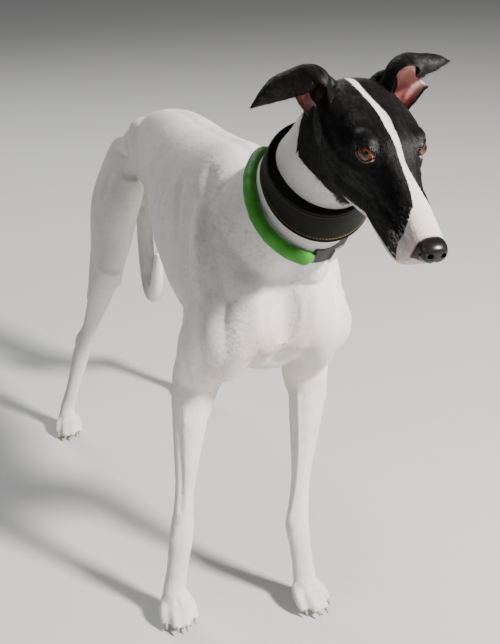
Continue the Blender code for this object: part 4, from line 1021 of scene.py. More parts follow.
def head_skin():
    """The head's forms merged, with its folds, the openings cut in and the ears joined on."""
    head = merged(head_forms(), "head_skin", HEAD_VOXEL, HEAD_SMOOTHING)
    reshape(head, head_strokes())
    set_points(head, points_of(head) - normals_of(head) * COAT_DEPTH)
    thinned(head, HEAD_TRIANGLES)
    for _, sign in SIDES:
        boolean(head, socket(sign), "DIFFERENCE")
        boolean(head, slit(sign), "DIFFERENCE")
        boolean(head, caruncle(sign), "UNION")
    boolean(head, nostrils(), "DIFFERENCE")
    boolean(head, mouth_wedge(), "DIFFERENCE")
    for side, _ in SIDES:
        boolean(head, ear_leaf(side), "UNION")
    return head


def whole_skin():
    """Body and head in one closed skin. Their meeting lies under the broad collar."""
    centre, up_neck = (np.array(LEATHER_COLLAR[k]) for k in ("centre", "normal"))
    body, head = body_skin(), head_skin()
    boolean(body, half_space(centre + unit(up_neck) * SKIN_OVERLAP, up_neck), "DIFFERENCE")
    boolean(head, half_space(centre - unit(up_neck) * SKIN_OVERLAP, -up_neck), "DIFFERENCE")
    return boolean(body, head, "UNION")


# Eyes, claws and collars


def eyeball(side, sign):
    """An eye with a clear bulge in front: near its axis the radius grows by height * (1 - (a / end)^2)^2."""
    centre, _ = eye_place(sign)
    look = unit(head_way(*on_side(EYE_LOOK, sign)))
    wide = unit(np.cross(look, UP))
    tall = np.cross(wide, look)
    around, rows = 64, 41
    turn = turns(around)[None]
    polar = np.linspace(0.004, math.pi - 0.004, rows)[:, None]
    bulge = CORNEA_HEIGHT * np.clip(1 - (polar / CORNEA_ANGLE) ** 2, 0, 1) ** 2
    reach = EYE_RADIUS - GAP + bulge
    grid = (centre + (reach * np.cos(polar) * np.ones_like(turn))[..., None] * look
            + (reach * np.sin(polar) * np.cos(turn))[..., None] * wide
            + (reach * np.sin(polar) * np.sin(turn))[..., None] * tall)
    tip = rows * around
    points = np.vstack([grid.reshape(-1, 3), [centre + look * reach[0]], [centre - look * reach[-1]]])
    fans = np.vstack([fan(0, around, tip), fan(tip - around, around, tip + 1)])
    obj = outward(new_object("eyeball_" + side, points, grid_faces(rows, around), fans))
    polar_of = np.concatenate([np.repeat(polar.ravel(), around), (0, math.pi)])
    turn_of = np.concatenate([np.tile(turn.ravel(), rows), (0, 0)])
    set_value(obj, "polar", polar_of)
    set_value(obj, "spoke_x", np.cos(turn_of))
    set_value(obj, "spoke_y", np.sin(turn_of))
    return obj


def set_value(obj, name, values):
    """Stores a number at each point of obj."""
    attribute = obj.data.attributes.new(name, "FLOAT", "POINT")
    attribute.data.foreach_set("value", np.asarray(values, np.float32))


def claws():
    """A short curved claw at the tip of each toe."""
    forms = Forms()
    for paws, turned, size in ((FORE_PAW, FORE_TOE_TURN, FORE_PAW_SIZE),
                               (HIND_PAW, HIND_TOE_TURN, HIND_PAW_SIZE)):
        for side, _ in SIDES:
            ahead, across = paw_axes(turned[side])
            for place, reach in TOE_PLACES:
                root = (np.array(paws[side]) + across * place * 0.0149 * size
                        + ahead * (reach - 0.003) * size + UP * 0.0130 * size)
                forms.limb([(root + ahead * f + UP * u, r * 0.8, r) for f, u, r in (
                    (0.0, 0.0, 0.0032), (0.0035, 0.0004, 0.0031), (0.0065, -0.0014, 0.0026),
                    (0.0082, -0.0040, 0.0017), (0.0088, -0.0062, 0.0008))], UP, steps=3, around=12)
    obj = forms.object("claws")
    points = points_of(obj)
    points[:, 2] = np.maximum(points[:, 2], FLOOR_GAP)
    set_points(obj, points + SHIFT)
    return outward(obj)


def collar_frame(collar):
    """Across, towards the nape and up the neck, at right angles."""
    up_neck = unit(collar["normal"])
    first = unit(LEFT - up_neck * (up_neck @ LEFT))
    return first, np.cross(up_neck, first), up_neck


def on_collar(collar, angle, reach, rise):
    """Points round the neck: angle 0 is the dog's left and then comes the nape; reach is outwards from the
    oval and rise is up the neck. The strap leans out down the neck, as the neck widens."""
    first, second, up_neck = collar_frame(collar)
    half, nape, throat = collar["half"]
    angle, reach, rise = np.broadcast_arrays(angle, reach, rise)
    beside, behind, before = collar["lean"]
    lean = (beside + (behind - beside) * np.maximum(0, np.sin(angle))
            + (before - beside) * np.maximum(0, -np.sin(angle)))
    reach = reach - lean * rise
    deep = np.where(np.sin(angle) > 0, nape, throat)
    place = (np.array(collar["centre"]) + first * (half * np.cos(angle))[..., None]
             + second * (deep * np.sin(angle))[..., None])
    out = unit(first * (np.cos(angle) / half)[..., None] + second * (np.sin(angle) / deep)[..., None])
    return place + out * reach[..., None] + up_neck * rise[..., None]


def band(name, collar, start, end, section, steps):
    """A closed strap round the collar's oval from one angle to another.

    section gives reach and rise arrays for a column of angles. Metres along and across are stored for the
    weave.
    """
    whole = end - start > 2 * math.pi - 1e-6
    angle = np.linspace(start, end, steps, endpoint=not whole)[:, None]
    reach, rise = section(angle)
    points = on_collar(collar, angle, reach, rise)
    rows, columns = points.shape[:2]
    faces = grid_faces(rows + (1 if whole else 0), columns)
    if whole:
        faces = faces % (rows * columns)
    along = running(np.linalg.norm(np.diff(points[:, 0], axis=0), axis=1))
    across = running(np.linalg.norm(np.diff(points, axis=1), axis=2).mean(axis=0))
    triangles = np.empty((0, 3), int)
    ends = np.empty((0, 3))
    if not whole:
        count = rows * columns
        triangles = np.vstack([fan(0, columns, count, back=True), fan(count - columns, columns, count + 1)])
        ends = np.array([points[0].mean(axis=0), points[-1].mean(axis=0)])
    obj = new_object(name, np.vstack([points.reshape(-1, 3), ends]), faces, triangles)
    for key, values in zip(("along", "across"), np.broadcast_arrays(along[:, None], across[None])):
        set_value(obj, key, np.concatenate([values.ravel(), np.zeros(len(ends))]))
    return outward(obj)


def flat_section(wide, inner, outer, crown, edge):
    """A strap's section: flat inside, crowned outside, with rounded edges.

    wide is the half width at each angle; the outer face stands crown * (1 - x^2) higher in its middle.
    """
    def section(angle):
        x = np.linspace(-1, 1, 22)[None]
        half = wide(angle) if callable(wide) else np.full_like(angle, wide)
        lip = edge * (1 - np.sqrt(np.clip(1 - np.clip((np.abs(x) - 1) * half / edge + 1, 0, 1) ** 2, 0, 1)))
        face = outer + crown * (1 - x**2) - lip
        reach = np.concatenate([face * np.ones_like(half), np.full_like(half, inner),
                                np.full_like(half, inner)], axis=1)
        rise = np.concatenate([x * half, half, -half], axis=1)
        return reach, rise
    return section


def tube_section(radius, squash, offset):
    """A tube's section, radius outwards and squash * radius across, offset * radius off the oval."""
    def section(angle):
        turn = turns(24)[None]
        return radius(angle) * (offset + np.cos(turn)), radius(angle) * squash * np.sin(turn)
    return section


def edge_section(rise, radius, offset):
    """A round section of this radius that follows rise(angle), its middle offset outwards."""
    def section(angle):
        turn = turns(12)[None]
        return offset + radius * np.cos(turn) + 0 * angle, rise(angle) + radius * np.sin(turn)
    return section


def leather_half(angle):
    """Half the leather collar's width: it is widest at the throat."""
    low, high = LEATHER_COLLAR["height"]
    return 0.5 * (low + (high - low) * (0.5 - 0.5 * np.sin(angle)) ** 1.5)


def leather_line(sign, inset):
    """How far up the neck a line lies that follows one edge of the leather collar at this distance."""
    return lambda angle: sign * (leather_half(angle) - inset)


def stitches(name, sign):
    """A row of thread along one edge of the leather collar, each stitch a low arch."""
    collar, rise, thick = LEATHER_COLLAR, leather_line(sign, STITCH_INSET), STITCH_THICKNESS
    reach = collar["thickness"] + 0.0001
    fine = np.linspace(0, 2 * math.pi, 721)
    line = on_collar(collar, fine, reach, rise(fine))
    along = running(np.linalg.norm(np.diff(line, axis=0), axis=1))
    centres = np.arange(STITCH_PITCH, along[-1], STITCH_PITCH)
    share = np.linspace(-0.5, 0.5, 7)
    angle = np.interp(centres[:, None] + share * STITCH_LENGTH, along, fine)
    arch = thick * 0.9 * (1 - (2 * share) ** 4)
    spine = on_collar(collar, angle, reach + arch - thick * 0.55, rise(angle))
    way = unit(np.gradient(spine, axis=1))
    out = unit(np.cross(way, collar_frame(collar)[2]))
    across = np.cross(out, way)
    turn = turns(6)
    slim = (thick * 0.5 * np.sqrt(np.clip(1.02 - (2 * share) ** 6, 0.02, 1)))[None, :, None, None]
    rings = spine[:, :, None] + slim * (np.cos(turn)[:, None] * across[:, :, None]
                                        + np.sin(turn)[:, None] * out[:, :, None])
    count, rows, columns = rings.shape[:3]
    single = grid_faces(rows, columns)
    ends = np.array([[0, 1, 2, 3], [0, 3, 4, 5]])
    single = np.vstack([single, ends[:, ::-1], ends + (rows - 1) * columns])
    faces = single[None] + np.arange(count)[:, None, None] * rows * columns
    return outward(new_object(name, rings.reshape(-1, 3), faces.reshape(-1, 4)))


# Shader building


class Value:
    """A socket or number in a material's maths. Operators add Math nodes."""

    def __init__(self, shader, socket):
        self.shader, self.socket = shader, socket

    def math(self, kind, *others):
        return self.shader.node("ShaderNodeMath", {"operation": kind}, dict(enumerate((self, *others))))

    def __add__(self, other):
        return self.math("ADD", other)

    def __sub__(self, other):
        return self.math("SUBTRACT", other)

    def __mul__(self, other):
        return self.math("MULTIPLY", other)

    def __rsub__(self, other):
        return self.shader.node("ShaderNodeMath", {"operation": "SUBTRACT"}, {0: other, 1: self})

    __radd__, __rmul__ = __add__, __mul__

    def step(self, low, high):
        """0 below low and 1 above high, with a smooth step between; high may be the smaller."""
        return self.shader.node("ShaderNodeMapRange", {"interpolation_type": "SMOOTHSTEP"},
                                {"Value": self, "From Min": low, "From Max": high})

    def most(self, other):
        return self.math("MAXIMUM", other)

    def size(self):
        return self.math("ABSOLUTE")


class Shader:
    """One material: its Principled shader, and a method that adds any other node."""

    def __init__(self, name, **constants):
        self.material = bpy.data.materials.new(name)
        self.material.use_nodes = True
        self.nodes, self.links = self.material.node_tree.nodes, self.material.node_tree.links
        self.main = self.nodes["Principled BSDF"]
        for key, value in constants.items():
            self.main.inputs[key.replace("_", " ")].default_value = value

    def feed(self, socket, value):
        if isinstance(value, Value):
            value = value.socket
        if isinstance(value, bpy.types.NodeSocket):
            self.links.new(value, socket)
        else:
            socket.default_value = value

    def node(self, kind, settings=None, inputs=None, output=0):
        made = self.nodes.new(kind)
        for key, value in (settings or {}).items():
            setattr(made, key, value)
        for key, value in (inputs or {}).items():
            self.feed(made.inputs[key], value)
        return Value(self, made.outputs[output])

    def place(self, scale=(1, 1, 1)):
        """Object coordinates, stretched by scale."""
        spot = self.node("ShaderNodeTexCoord", output="Object")
        if scale == (1, 1, 1):
            return spot
        return self.node("ShaderNodeMapping", None, {"Vector": spot, "Scale": scale})

    def lie(self, way, long):
        """Object coordinates turned so that the first runs along way, and drawn out along it."""
        turn = Vector((1, 0, 0)).rotation_difference(Vector(way).normalized()).to_euler()
        return self.node("ShaderNodeMapping", {"vector_type": "TEXTURE"},
                         {"Vector": self.place(), "Rotation": turn, "Scale": (long, 1, 1)})

    def blend(self, share, first, second):
        """Between two values."""
        return first * (1 - share) + second * share

    def stored(self, name):
        return self.node("ShaderNodeAttribute", {"attribute_name": name}, output="Fac")

    def noise(self, scale, detail, rough, at=None):
        return self.node("ShaderNodeTexNoise", None,
                         {"Vector": at or self.place(), "Scale": scale, "Detail": detail, "Roughness": rough})

    def cells(self, scale, at):
        """Distance from the edges of small cells."""
        return self.node("ShaderNodeTexVoronoi", {"feature": "DISTANCE_TO_EDGE"},
                         {"Vector": at, "Scale": scale})

    def mix(self, share, first, second):
        """Between two colours, each a colour or a socket."""
        first, second = ((*shade, 1) if isinstance(shade, tuple) else shade for shade in (first, second))
        return self.node("ShaderNodeMix", {"data_type": "RGBA"}, {0: share, 6: first, 7: second}, output=2)

    def bump(self, height, distance, strength=1.0, below=None):
        inputs = {"Height": height, "Distance": distance, "Strength": strength}
        if below is not None:
            inputs["Normal"] = below
        return self.node("ShaderNodeBump", None, inputs)

    def finish(self, color, rough, normal=None, coat=None):
        named = {"Base Color": color, "Roughness": rough, "Normal": normal, "Coat Weight": coat}
        for key, value in named.items():
            if value is not None:
                self.feed(self.main.inputs[key], value)
        return self.material


def coat_material(name, bare_skin=True):
    """Short fur: white or black after the stored markings, with bare skin, painted shade deep in the ears,
    nose and pads, and a fine lie.
    """
    s = Shader(name, Specular_IOR_Level=0.16, Sheen_Weight=0.03, Sheen_Roughness=0.45, Coat_Roughness=0.24)
    spot = s.place()
    brow, limb = s.stored("brow"), s.stored("limb")
    lies = [s.lie(way, 7.0) for way in ((0, 0.88, -0.48), (0, 0, -1), tuple(HEAD_AXES[0]))]
    hair, lock = (s.blend(brow, s.blend(limb, *(s.noise(scale, 2.0, 0.6, lie) for lie in lies[:2])),
                          s.noise(scale * 1.3, 2.0, 0.6, lies[2])) for scale in (900.0, 210.0))
    broad = s.noise(9.0, 4.0, 0.6, spot)
    blot = s.noise(38.0, 3.0, 0.6, spot)
    dark, blaze, speckle = s.stored("dark"), s.stored("blaze"), s.stored("speckle")
    ragged = (hair - 0.5) * 0.0022 + (lock - 0.5) * 0.0020
    in_blaze = (blaze + ragged * (1 + speckle * 3)).step(-0.0007, 0.0007)
    in_dark = (dark + ragged * 1.5).step(-0.0009, 0.0009)
    flecks = (hair * 0.6 + lock * 0.4 + speckle * 0.10).step(0.57, 0.72) * speckle
    salt = (hair * 0.7 + blot * 0.3).step(0.58, 0.70) * 0.05
    black = in_dark * (1 - in_blaze) * (1 - flecks * 0.8) * (1 - salt)
    white = s.mix(broad.step(0.35, 0.7), (0.80, 0.785, 0.765), (0.72, 0.695, 0.665))
    white = s.mix(blot.step(0.52, 0.74) * 0.30, white, (0.50, 0.475, 0.455))
    white = s.mix(lock.step(0.45, 0.75) * 0.22, white, (0.56, 0.525, 0.495))
    white = s.mix(s.stored("thin") * (0.55 + blot * 0.7), white, (0.68, 0.43, 0.375))
    coal = s.mix(lock.step(0.35, 0.75), (0.0016, 0.0015, 0.0017), (0.0085, 0.0072, 0.0066))
    coal = s.mix(blot.step(0.52, 0.80) * 0.5, coal, (0.017, 0.0145, 0.0125))
    color = s.mix(black, white, coal)
    rough = 0.66 - black * 0.22 + (hair - 0.5) * 0.15
    if not bare_skin:
        return s.finish(color, rough)
    pink = s.mix(blot.step(0.35, 0.65), (0.92, 0.62, 0.58), (0.80, 0.38, 0.35))
    # Darker red in patches deep in the ear near its root: painted shade in the ear's hollow.
    pink = s.mix(s.stored("deep") * blot.step(0.30, 0.60) * 0.85, pink, (0.50, 0.13, 0.12))
    color = s.mix(s.stored("flesh"), color, pink)
    pad = s.stored("pad")
    cells = s.cells(950.0, spot)
    leather = s.mix(cells.step(0.0, 0.12), (0.0020, 0.0014, 0.0016), (0.0080, 0.0048, 0.0054))
    color = s.mix(pad, color, leather)
    rim = s.stored("rim")
    color = s.mix(rim, color, (0.0055, 0.0040, 0.0040))
    rough = rough * (1 - pad * 0.42) - rim * 0.22
    fur = s.bump(hair * 0.5 + lock * 0.5, 0.0013, 0.75)
    pebble = s.bump(cells.step(0.0, 0.15) * pad, 0.0005, 0.8, fur)
    return s.finish(color, rough, pebble, pad * 0.45)


def eye_material():
    """Amber-brown iris with spokes and a dark rim, round pupil, and a dusky white beyond."""
    s = Shader("eye", Coat_Roughness=0.02, Coat_Weight=1.0, Coat_IOR=1.4, Specular_IOR_Level=0.05)
    polar = s.stored("polar")
    x, y = s.stored("spoke_x"), s.stored("spoke_y")
    ring = s.node("ShaderNodeCombineXYZ", None, {0: x * 9, 1: y * 9, 2: polar * 3})
    spokes = s.noise(1.0, 4.0, 0.65, ring)
    iris = s.mix(spokes.step(0.3, 0.7), (0.040, 0.010, 0.003), (0.21, 0.062, 0.014))
    iris = s.mix(polar.step(0.60, 0.34), iris, (0.060, 0.018, 0.006))
    iris = s.mix(polar.step(0.66, 0.76), iris, (0.010, 0.005, 0.004))
    veins = s.noise(6.0, 5.0, 0.7, ring)
    outer = s.mix(veins.step(0.45, 0.7), (0.10, 0.060, 0.048), (0.07, 0.022, 0.016))
    color = s.mix(polar.step(0.78, 0.86), iris, outer)
    color = s.mix(polar.step(0.30, 0.26), color, (0.0012, 0.0010, 0.0010))
    return s.finish(color, 0.6)


def claw_material():
    s = Shader("claw")
    grain = s.noise(500.0, 2.0, 0.5, s.place((1, 1, 0.2)))
    color = s.mix(grain, (0.26, 0.20, 0.16), (0.52, 0.45, 0.39))
    return s.finish(color, 0.38, s.bump(grain, 0.0003, 0.4))


def leather_material(name, dim=1.0):
    """Dark oiled leather, fine cells with creases over them, worn a little lighter in places."""
    s = Shader(name, Specular_IOR_Level=0.10)
    spot = s.place()
    cells = s.cells(620.0, spot)
    crease = s.noise(90.0, 5.0, 0.65, spot)
    wear = s.noise(28.0, 4.0, 0.6, spot)
    low, high = (tuple(dim * c for c in shade) for shade in (
        (0.0022, 0.0021, 0.0006), (0.0072, 0.0068, 0.0018)))
    color = s.mix(wear.step(0.4, 0.75), low, high)
    color = s.mix(cells.step(0.06, 0.0) * 0.6, color, (0.0020, 0.0020, 0.0015))
    rough = 0.46 + (wear - 0.5) * 0.3
    return s.finish(color, rough, s.bump(cells.step(0.0, 0.2), 0.0003, 0.5, s.bump(crease, 0.0012, 0.35)))


def thread_material(name, color):
    s = Shader(name, Sheen_Weight=0.3)
    twist = s.noise(1400.0, 2.0, 0.6)
    shade = s.mix(twist, tuple(0.55 * c for c in color), color)
    return s.finish(shade, 0.7, s.bump(twist, 0.0003, 0.6))


def woven_material(name, low, high, pitch, depth, rough, pile, sheen):
    """Cloth woven over and under along the strap: waves of sin(pi * distance / pitch) both ways, of which
    the one along stands out where their product is above 0, and the one across elsewhere."""
    s = Shader(name, Sheen_Weight=sheen, Sheen_Roughness=0.4)
    u, v = s.stored("along") * (math.pi / pitch), s.stored("across") * (math.pi / pitch)
    warp, weft = u.math("SINE"), v.math("SINE")
    over = (warp * weft).step(-0.6, 0.6)
    ridge = (warp.size() * over).most(weft.size() * (1 - over))
    wear = s.noise(45.0, 4.0, 0.65)
    fuzz = s.noise(900.0, 3.0, 0.7)
    share = ridge * 0.45 + wear.step(0.3, 0.75) * 0.35 + fuzz * 0.2
    color = s.mix(share, low, high)
    bump = s.bump(ridge, depth, 0.7)
    if pile:
        bump = s.bump(fuzz, pile, 0.8, bump)
    return s.finish(color, rough + (fuzz - 0.5) * 0.1, bump)


def metal_material():
    s = Shader("slide", Metallic=1.0)
    scratch = s.noise(700.0, 3.0, 0.6, s.place((1, 0.15, 1)))
    color = s.mix(scratch, (0.62, 0.62, 0.63), (0.78, 0.78, 0.78))
    return s.finish(color, 0.16 + scratch * 0.14, s.bump(scratch, 0.0001, 0.4))


def floor_material():
    s = Shader("floor")
    grain = s.noise(60.0, 4.0, 0.6)
    return s.finish(s.mix(grain, (0.60, 0.60, 0.585), (0.66, 0.66, 0.645)), 0.85)


# Markings


def markings(points):
    """Numbers that colour the skin and the coat, from places in the dog's own frame.

    dark and blaze are distances inside the black and inside the white blaze; speckle says how far the hairs
    mix there; thin is where the pink of the skin shows through the white; brow and limb say which way the
    hair lies.
    """
    forward, left, up = in_head(points).T
    edge = np.interp(up, *np.array(DARK_EDGE).T[::-1])
    dark = (forward - edge) * 0.85
    turn = np.degrees(np.arctan2(left, up + MUZZLE_AXIS))
    table = np.array(BLAZE_EDGES)
    right, far = (np.interp(forward, table[:, 0], table[:, k]) for k in (1, 2))
    reach = np.radians(1) * np.hypot(left, up + MUZZLE_AXIS)
    blaze = np.minimum(turn - right, far - turn) * reach
    blaze = np.minimum(blaze, (forward - table[0, 0]) * 0.5)
    chin = (np.interp(forward, *np.array(CHIN_EDGE).T) - up) * 0.8
    blaze = np.maximum(blaze, np.where(forward > CHIN_EDGE[0][0], chin, -0.05))
    speckle = 0.8 * ramp(forward, 0.176, 0.206) * (1 - ramp(forward, 0.226, 0.240))
    jaw = ramp(-up, 0.086, 0.100) * ramp(forward, 0.07, 0.10)
    speckle = np.maximum(speckle, 0.7 * jaw)
    x, y, z = points.T
    thin = np.zeros(len(points))
    for (cx, cy, cz), size, amount in THIN_PLACES:
        gap = np.sqrt((np.abs(x) - cx) ** 2 + (y - cy) ** 2 + (z - cz) ** 2)
        thin = np.maximum(thin, amount * np.exp(-(gap / size) ** 2))
    snout = (0.30 + 0.25 * ramp(forward, 0.21, 0.235)) * ramp(forward, 0.17, 0.20)
    thin = np.maximum(thin, snout * (dark > 0))
    limb = 1 - ramp(z, 0.36, 0.48)
    return {"dark": dark, "blaze": blaze, "speckle": speckle, "thin": thin,
            "brow": ramp(dark, -0.02, 0.01), "limb": limb}


def tree_of(places):
    """A tree that finds the nearest of the places."""
    tree = KDTree(len(places))
    for i, place in enumerate(places):
        tree.insert(place, i)
    tree.balance()
    return tree


def ear_bareness(points):
    """How bare each point is and how deep in the ear it lies, which sets where the inside is darkened near
    the root as painted shade; both are 0 on the ears' backs.

    A point is inside an ear where the nearest place of the ear's inside is nearer than the nearest place
    of its back.
    """
    bare, deep = np.zeros(len(points)), np.zeros(len(points))
    for side, _ in SIDES:
        outer, inner = ear_grid(side)
        along, across = (np.linspace(0, 1, n) for n in inner.shape[:2])
        share = np.broadcast_to(np.abs(across * 2 - 1)[None], inner.shape[:2])
        along = np.broadcast_to(along[:, None], inner.shape[:2])
        pink = ((1 - ramp(share, 0.76, 0.98)) * (1 - ramp(along, EAR_BARE, EAR_BARE + 0.20))).ravel()
        # Near the root the inside of the ear is darkened: painted shade in its hollow.
        depth = (1 - ramp(along, 0.06, 0.20)).ravel()
        inside, back = tree_of(inner.reshape(-1, 3)), tree_of(outer.reshape(-1, 3))
        middle = inner.reshape(-1, 3).mean(axis=0)
        for i in np.flatnonzero(np.linalg.norm(points - middle, axis=1) < 0.12):
            _, index, gap = inside.find(points[i])
            if gap <= EAR_THICKNESS and gap < back.find(points[i])[2]:
                bare[i] = pink[index]
                deep[i] = depth[index]
    return bare, deep


def paint_skin(skin):
    """Stores the markings, the bare skin, the painted shade deep in the ears, the nose and foot pads and the
    lids' dark rims.

    Returns how bare each point is, so that no tufts grow there.
    """
    points, normals = points_of(skin), normals_of(skin)
    for name, values in markings(points).items():
        set_value(skin, name, values)
    forward, _, up = in_head(points).T
    flesh, deep = ear_bareness(points)
    pad = ramp(forward, 0.2275, 0.2295) * ramp(up, -0.0695, -0.0680)
    sole = ramp(-normals[:, 2], 0.75, 0.9) * (1 - ramp(points[:, 2], 0.004, 0.010))
    rim = np.zeros(len(points))
    for _, sign in SIDES:
        centre, _ = eye_place(sign)
        wide, tall, gaze = eye_frame(sign)
        offset = points - centre
        a, b, c = offset @ wide, offset @ tall, offset @ gaze
        shape = np.hypot(a / EYE_OPENING[0], b / EYE_OPENING[1])
        close = (c > 0) & (np.linalg.norm(offset, axis=1) < 0.022)
        lower = ramp(-b, 0.0010, 0.0040)
        ring = ramp(shape, 0.80, 0.92) * (1 - ramp(shape, 1.14, 1.32))
        rim = np.maximum(rim, np.where(close, ring * (1 - 0.75 * lower * (1 - ramp(shape, 1.05, 1.13))), 0))
        edge = (1 - ramp(shape, 1.02, 1.08)) * np.maximum(0.35 * lower, ramp(a, 0.0080, 0.0105))
        flesh = np.maximum(flesh, np.where(close, edge, 0))
    mouth = path_distance(points, [on_head(*place) for place in mouth_line(3)])
    lip = 1 - ramp(mouth, 0.0014, 0.0034)
    flesh = np.maximum(flesh, lip * ramp(forward, 0.17, 0.20) * 0.55)
    rim = np.maximum(rim, lip * (1 - ramp(forward, 0.17, 0.20)))
    pad = np.maximum(pad, sole)
    # deep marks where the ear's inside gets painted shade near its root.
    for name, values in (("flesh", flesh), ("deep", deep), ("pad", pad), ("rim", rim)):
        set_value(skin, name, values)
    return np.maximum(np.maximum(flesh * 0.9, pad), rim)


# Coat


def body_axes():
    """The axes of the body's parts: points the way the hair lies, typical radius, and a way across."""
    parts = [
        ([on_head(*p) for p in ((0.262, 0, -0.056), (0.14, 0, -0.055), (0.06, 0, -0.050), (-0.03, 0, -0.05))],
         0.045, LEFT),
        ([np.array(s[0]) for s in NECK[:0:-1]] + [np.array((0.0, -0.010, 0.62))], 0.062, LEFT),
        ([np.array((0, y, (top + bottom) / 2)) for y, top, bottom, _, _ in TRUNK], 0.105, LEFT),
    ]
    for side, _ in SIDES:
        for tables, radius in (((SHOULDER, ELBOW, WRIST, FORE_PAW), 0.034),
                               ((HIP, STIFLE, HOCK, HIND_PAW), 0.046)):
            *joints, paw = at_side(side, *tables)
            parts.append(([*joints, paw + UP * 0.02, paw + FRONT * 0.05], radius, LEFT))
        parts.append(([on_head(*s[0]) for s in EARS[side]], 0.018, HEAD_AXES[0]))
    parts.append(([np.array(centre) for centre, _ in TAIL], 0.018, LEFT))
    return parts


def unwrapped(points):
    """For each point the way the hair lies there, and its place on a flat map of the body.

    Each part has a cell of the map. Across the cell runs the share of the part's axis, up the cell the turn
    round the axis.
    """
    best = np.full(len(points), np.inf)
    way = np.zeros((len(points), 3))
    spot = np.zeros((len(points), 2))
    for cell, (path, radius, across) in enumerate(body_axes()):
        path = np.array(path)
        lengths = np.linalg.norm(np.diff(path, axis=0), axis=1)
        starts = running(lengths)
        for k, (first, last) in enumerate(zip(path[:-1], path[1:])):
            along = (last - first) / lengths[k]
            share = np.clip((points - first) @ along, 0, lengths[k])
            off = points - first - share[:, None] * along
            gap = np.linalg.norm(off, axis=1) / radius
            near = gap < best
            best[near] = gap[near]
            way[near] = along
            level = unit(across - along * (across @ along))
            turn = np.arctan2(off @ np.cross(along, level), off @ level) / (2 * math.pi) + 0.5
            u = (cell % MAP_COLUMNS + MAP_MARGIN + MAP_SPAN * (starts[k] + share) / starts[-1]) / MAP_COLUMNS
            v = (cell // MAP_COLUMNS + MAP_MARGIN + MAP_SPAN * turn) / MAP_ROWS
            spot[near] = np.stack([u, v], axis=1)[near]
    return way, spot


def under_collars(points):
    """True where a strap covers the place."""
    hidden = np.zeros(len(points), bool)
    for collar, half in STRAP_COVERS:
        _, _, up_neck = collar_frame(collar)
        offset = points - np.array(collar["centre"])
        rise = offset @ up_neck
        near = np.linalg.norm(offset - rise[:, None] * up_neck, axis=1) < NECK_REACH
        hidden |= near & (np.abs(rise) < half)
    return hidden


def coat_measures(points, normals, brow):
    """How dense, long and raised the tufts are: longest behind the thighs, under the tail and the belly."""
    x, y, z = points.T
    behind = ramp(normals[:, 1], 0.2, 0.8)
    below = ramp(-normals[:, 2], 0.2, 0.8)
    thigh = behind * ramp(y, 0.50, 0.56) * ramp(z, 0.20, 0.34)
    tail = ramp(y, 0.640, 0.660) * (np.abs(x) < 0.03) * (1 - ramp(z, 0.56, 0.60))
    belly = below * ramp(z, 0.30, 0.40) * ramp(y, 0.0, 0.1)
    elbow = behind * ramp(y, -0.02, 0.05) * ramp(z, 0.16, 0.24) * (1 - ramp(y, 0.10, 0.14))
    breast = (1 - ramp(y, -0.10, -0.05)) * ramp(z, 0.44, 0.50) * (1 - ramp(z, 0.66, 0.72))
    nape = ramp(z, 0.62, 0.68) * (1 - ramp(z, 0.74, 0.80)) * (1 - ramp(y, -0.02, 0.06))
    rough = np.max([thigh, tail, 0.6 * belly, 0.7 * elbow, 0.12 * breast, 0.20 * nape], axis=0)
    foot = 1 - ramp(z, 0.05, 0.12)
    density = 0.7 + 2.2 * rough + 0.8 * foot
    length = (0.0042 + 0.0042 * rough) * (1 - 0.45 * foot)
    smooth = (1 - ramp(y, -0.05, 0.0)) * ramp(z, 0.40, 0.44) * (1 - ramp(z, 0.58, 0.62))
    lift = (0.045 + 0.13 * rough) * (1 - 0.6 * smooth)
    density *= 1 - 0.55 * smooth
    forward = in_head(points)[:, 0]
    face = ramp(forward, 0.04, 0.14)
    density = density * (1 - brow) + brow * (2.2 + 1.4 * face)
    length = length * (1 - brow) + brow * (0.0040 - 0.0018 * face)
    lift = lift * (1 - brow) + brow * (0.075 - 0.025 * face)
    return density, length, lift


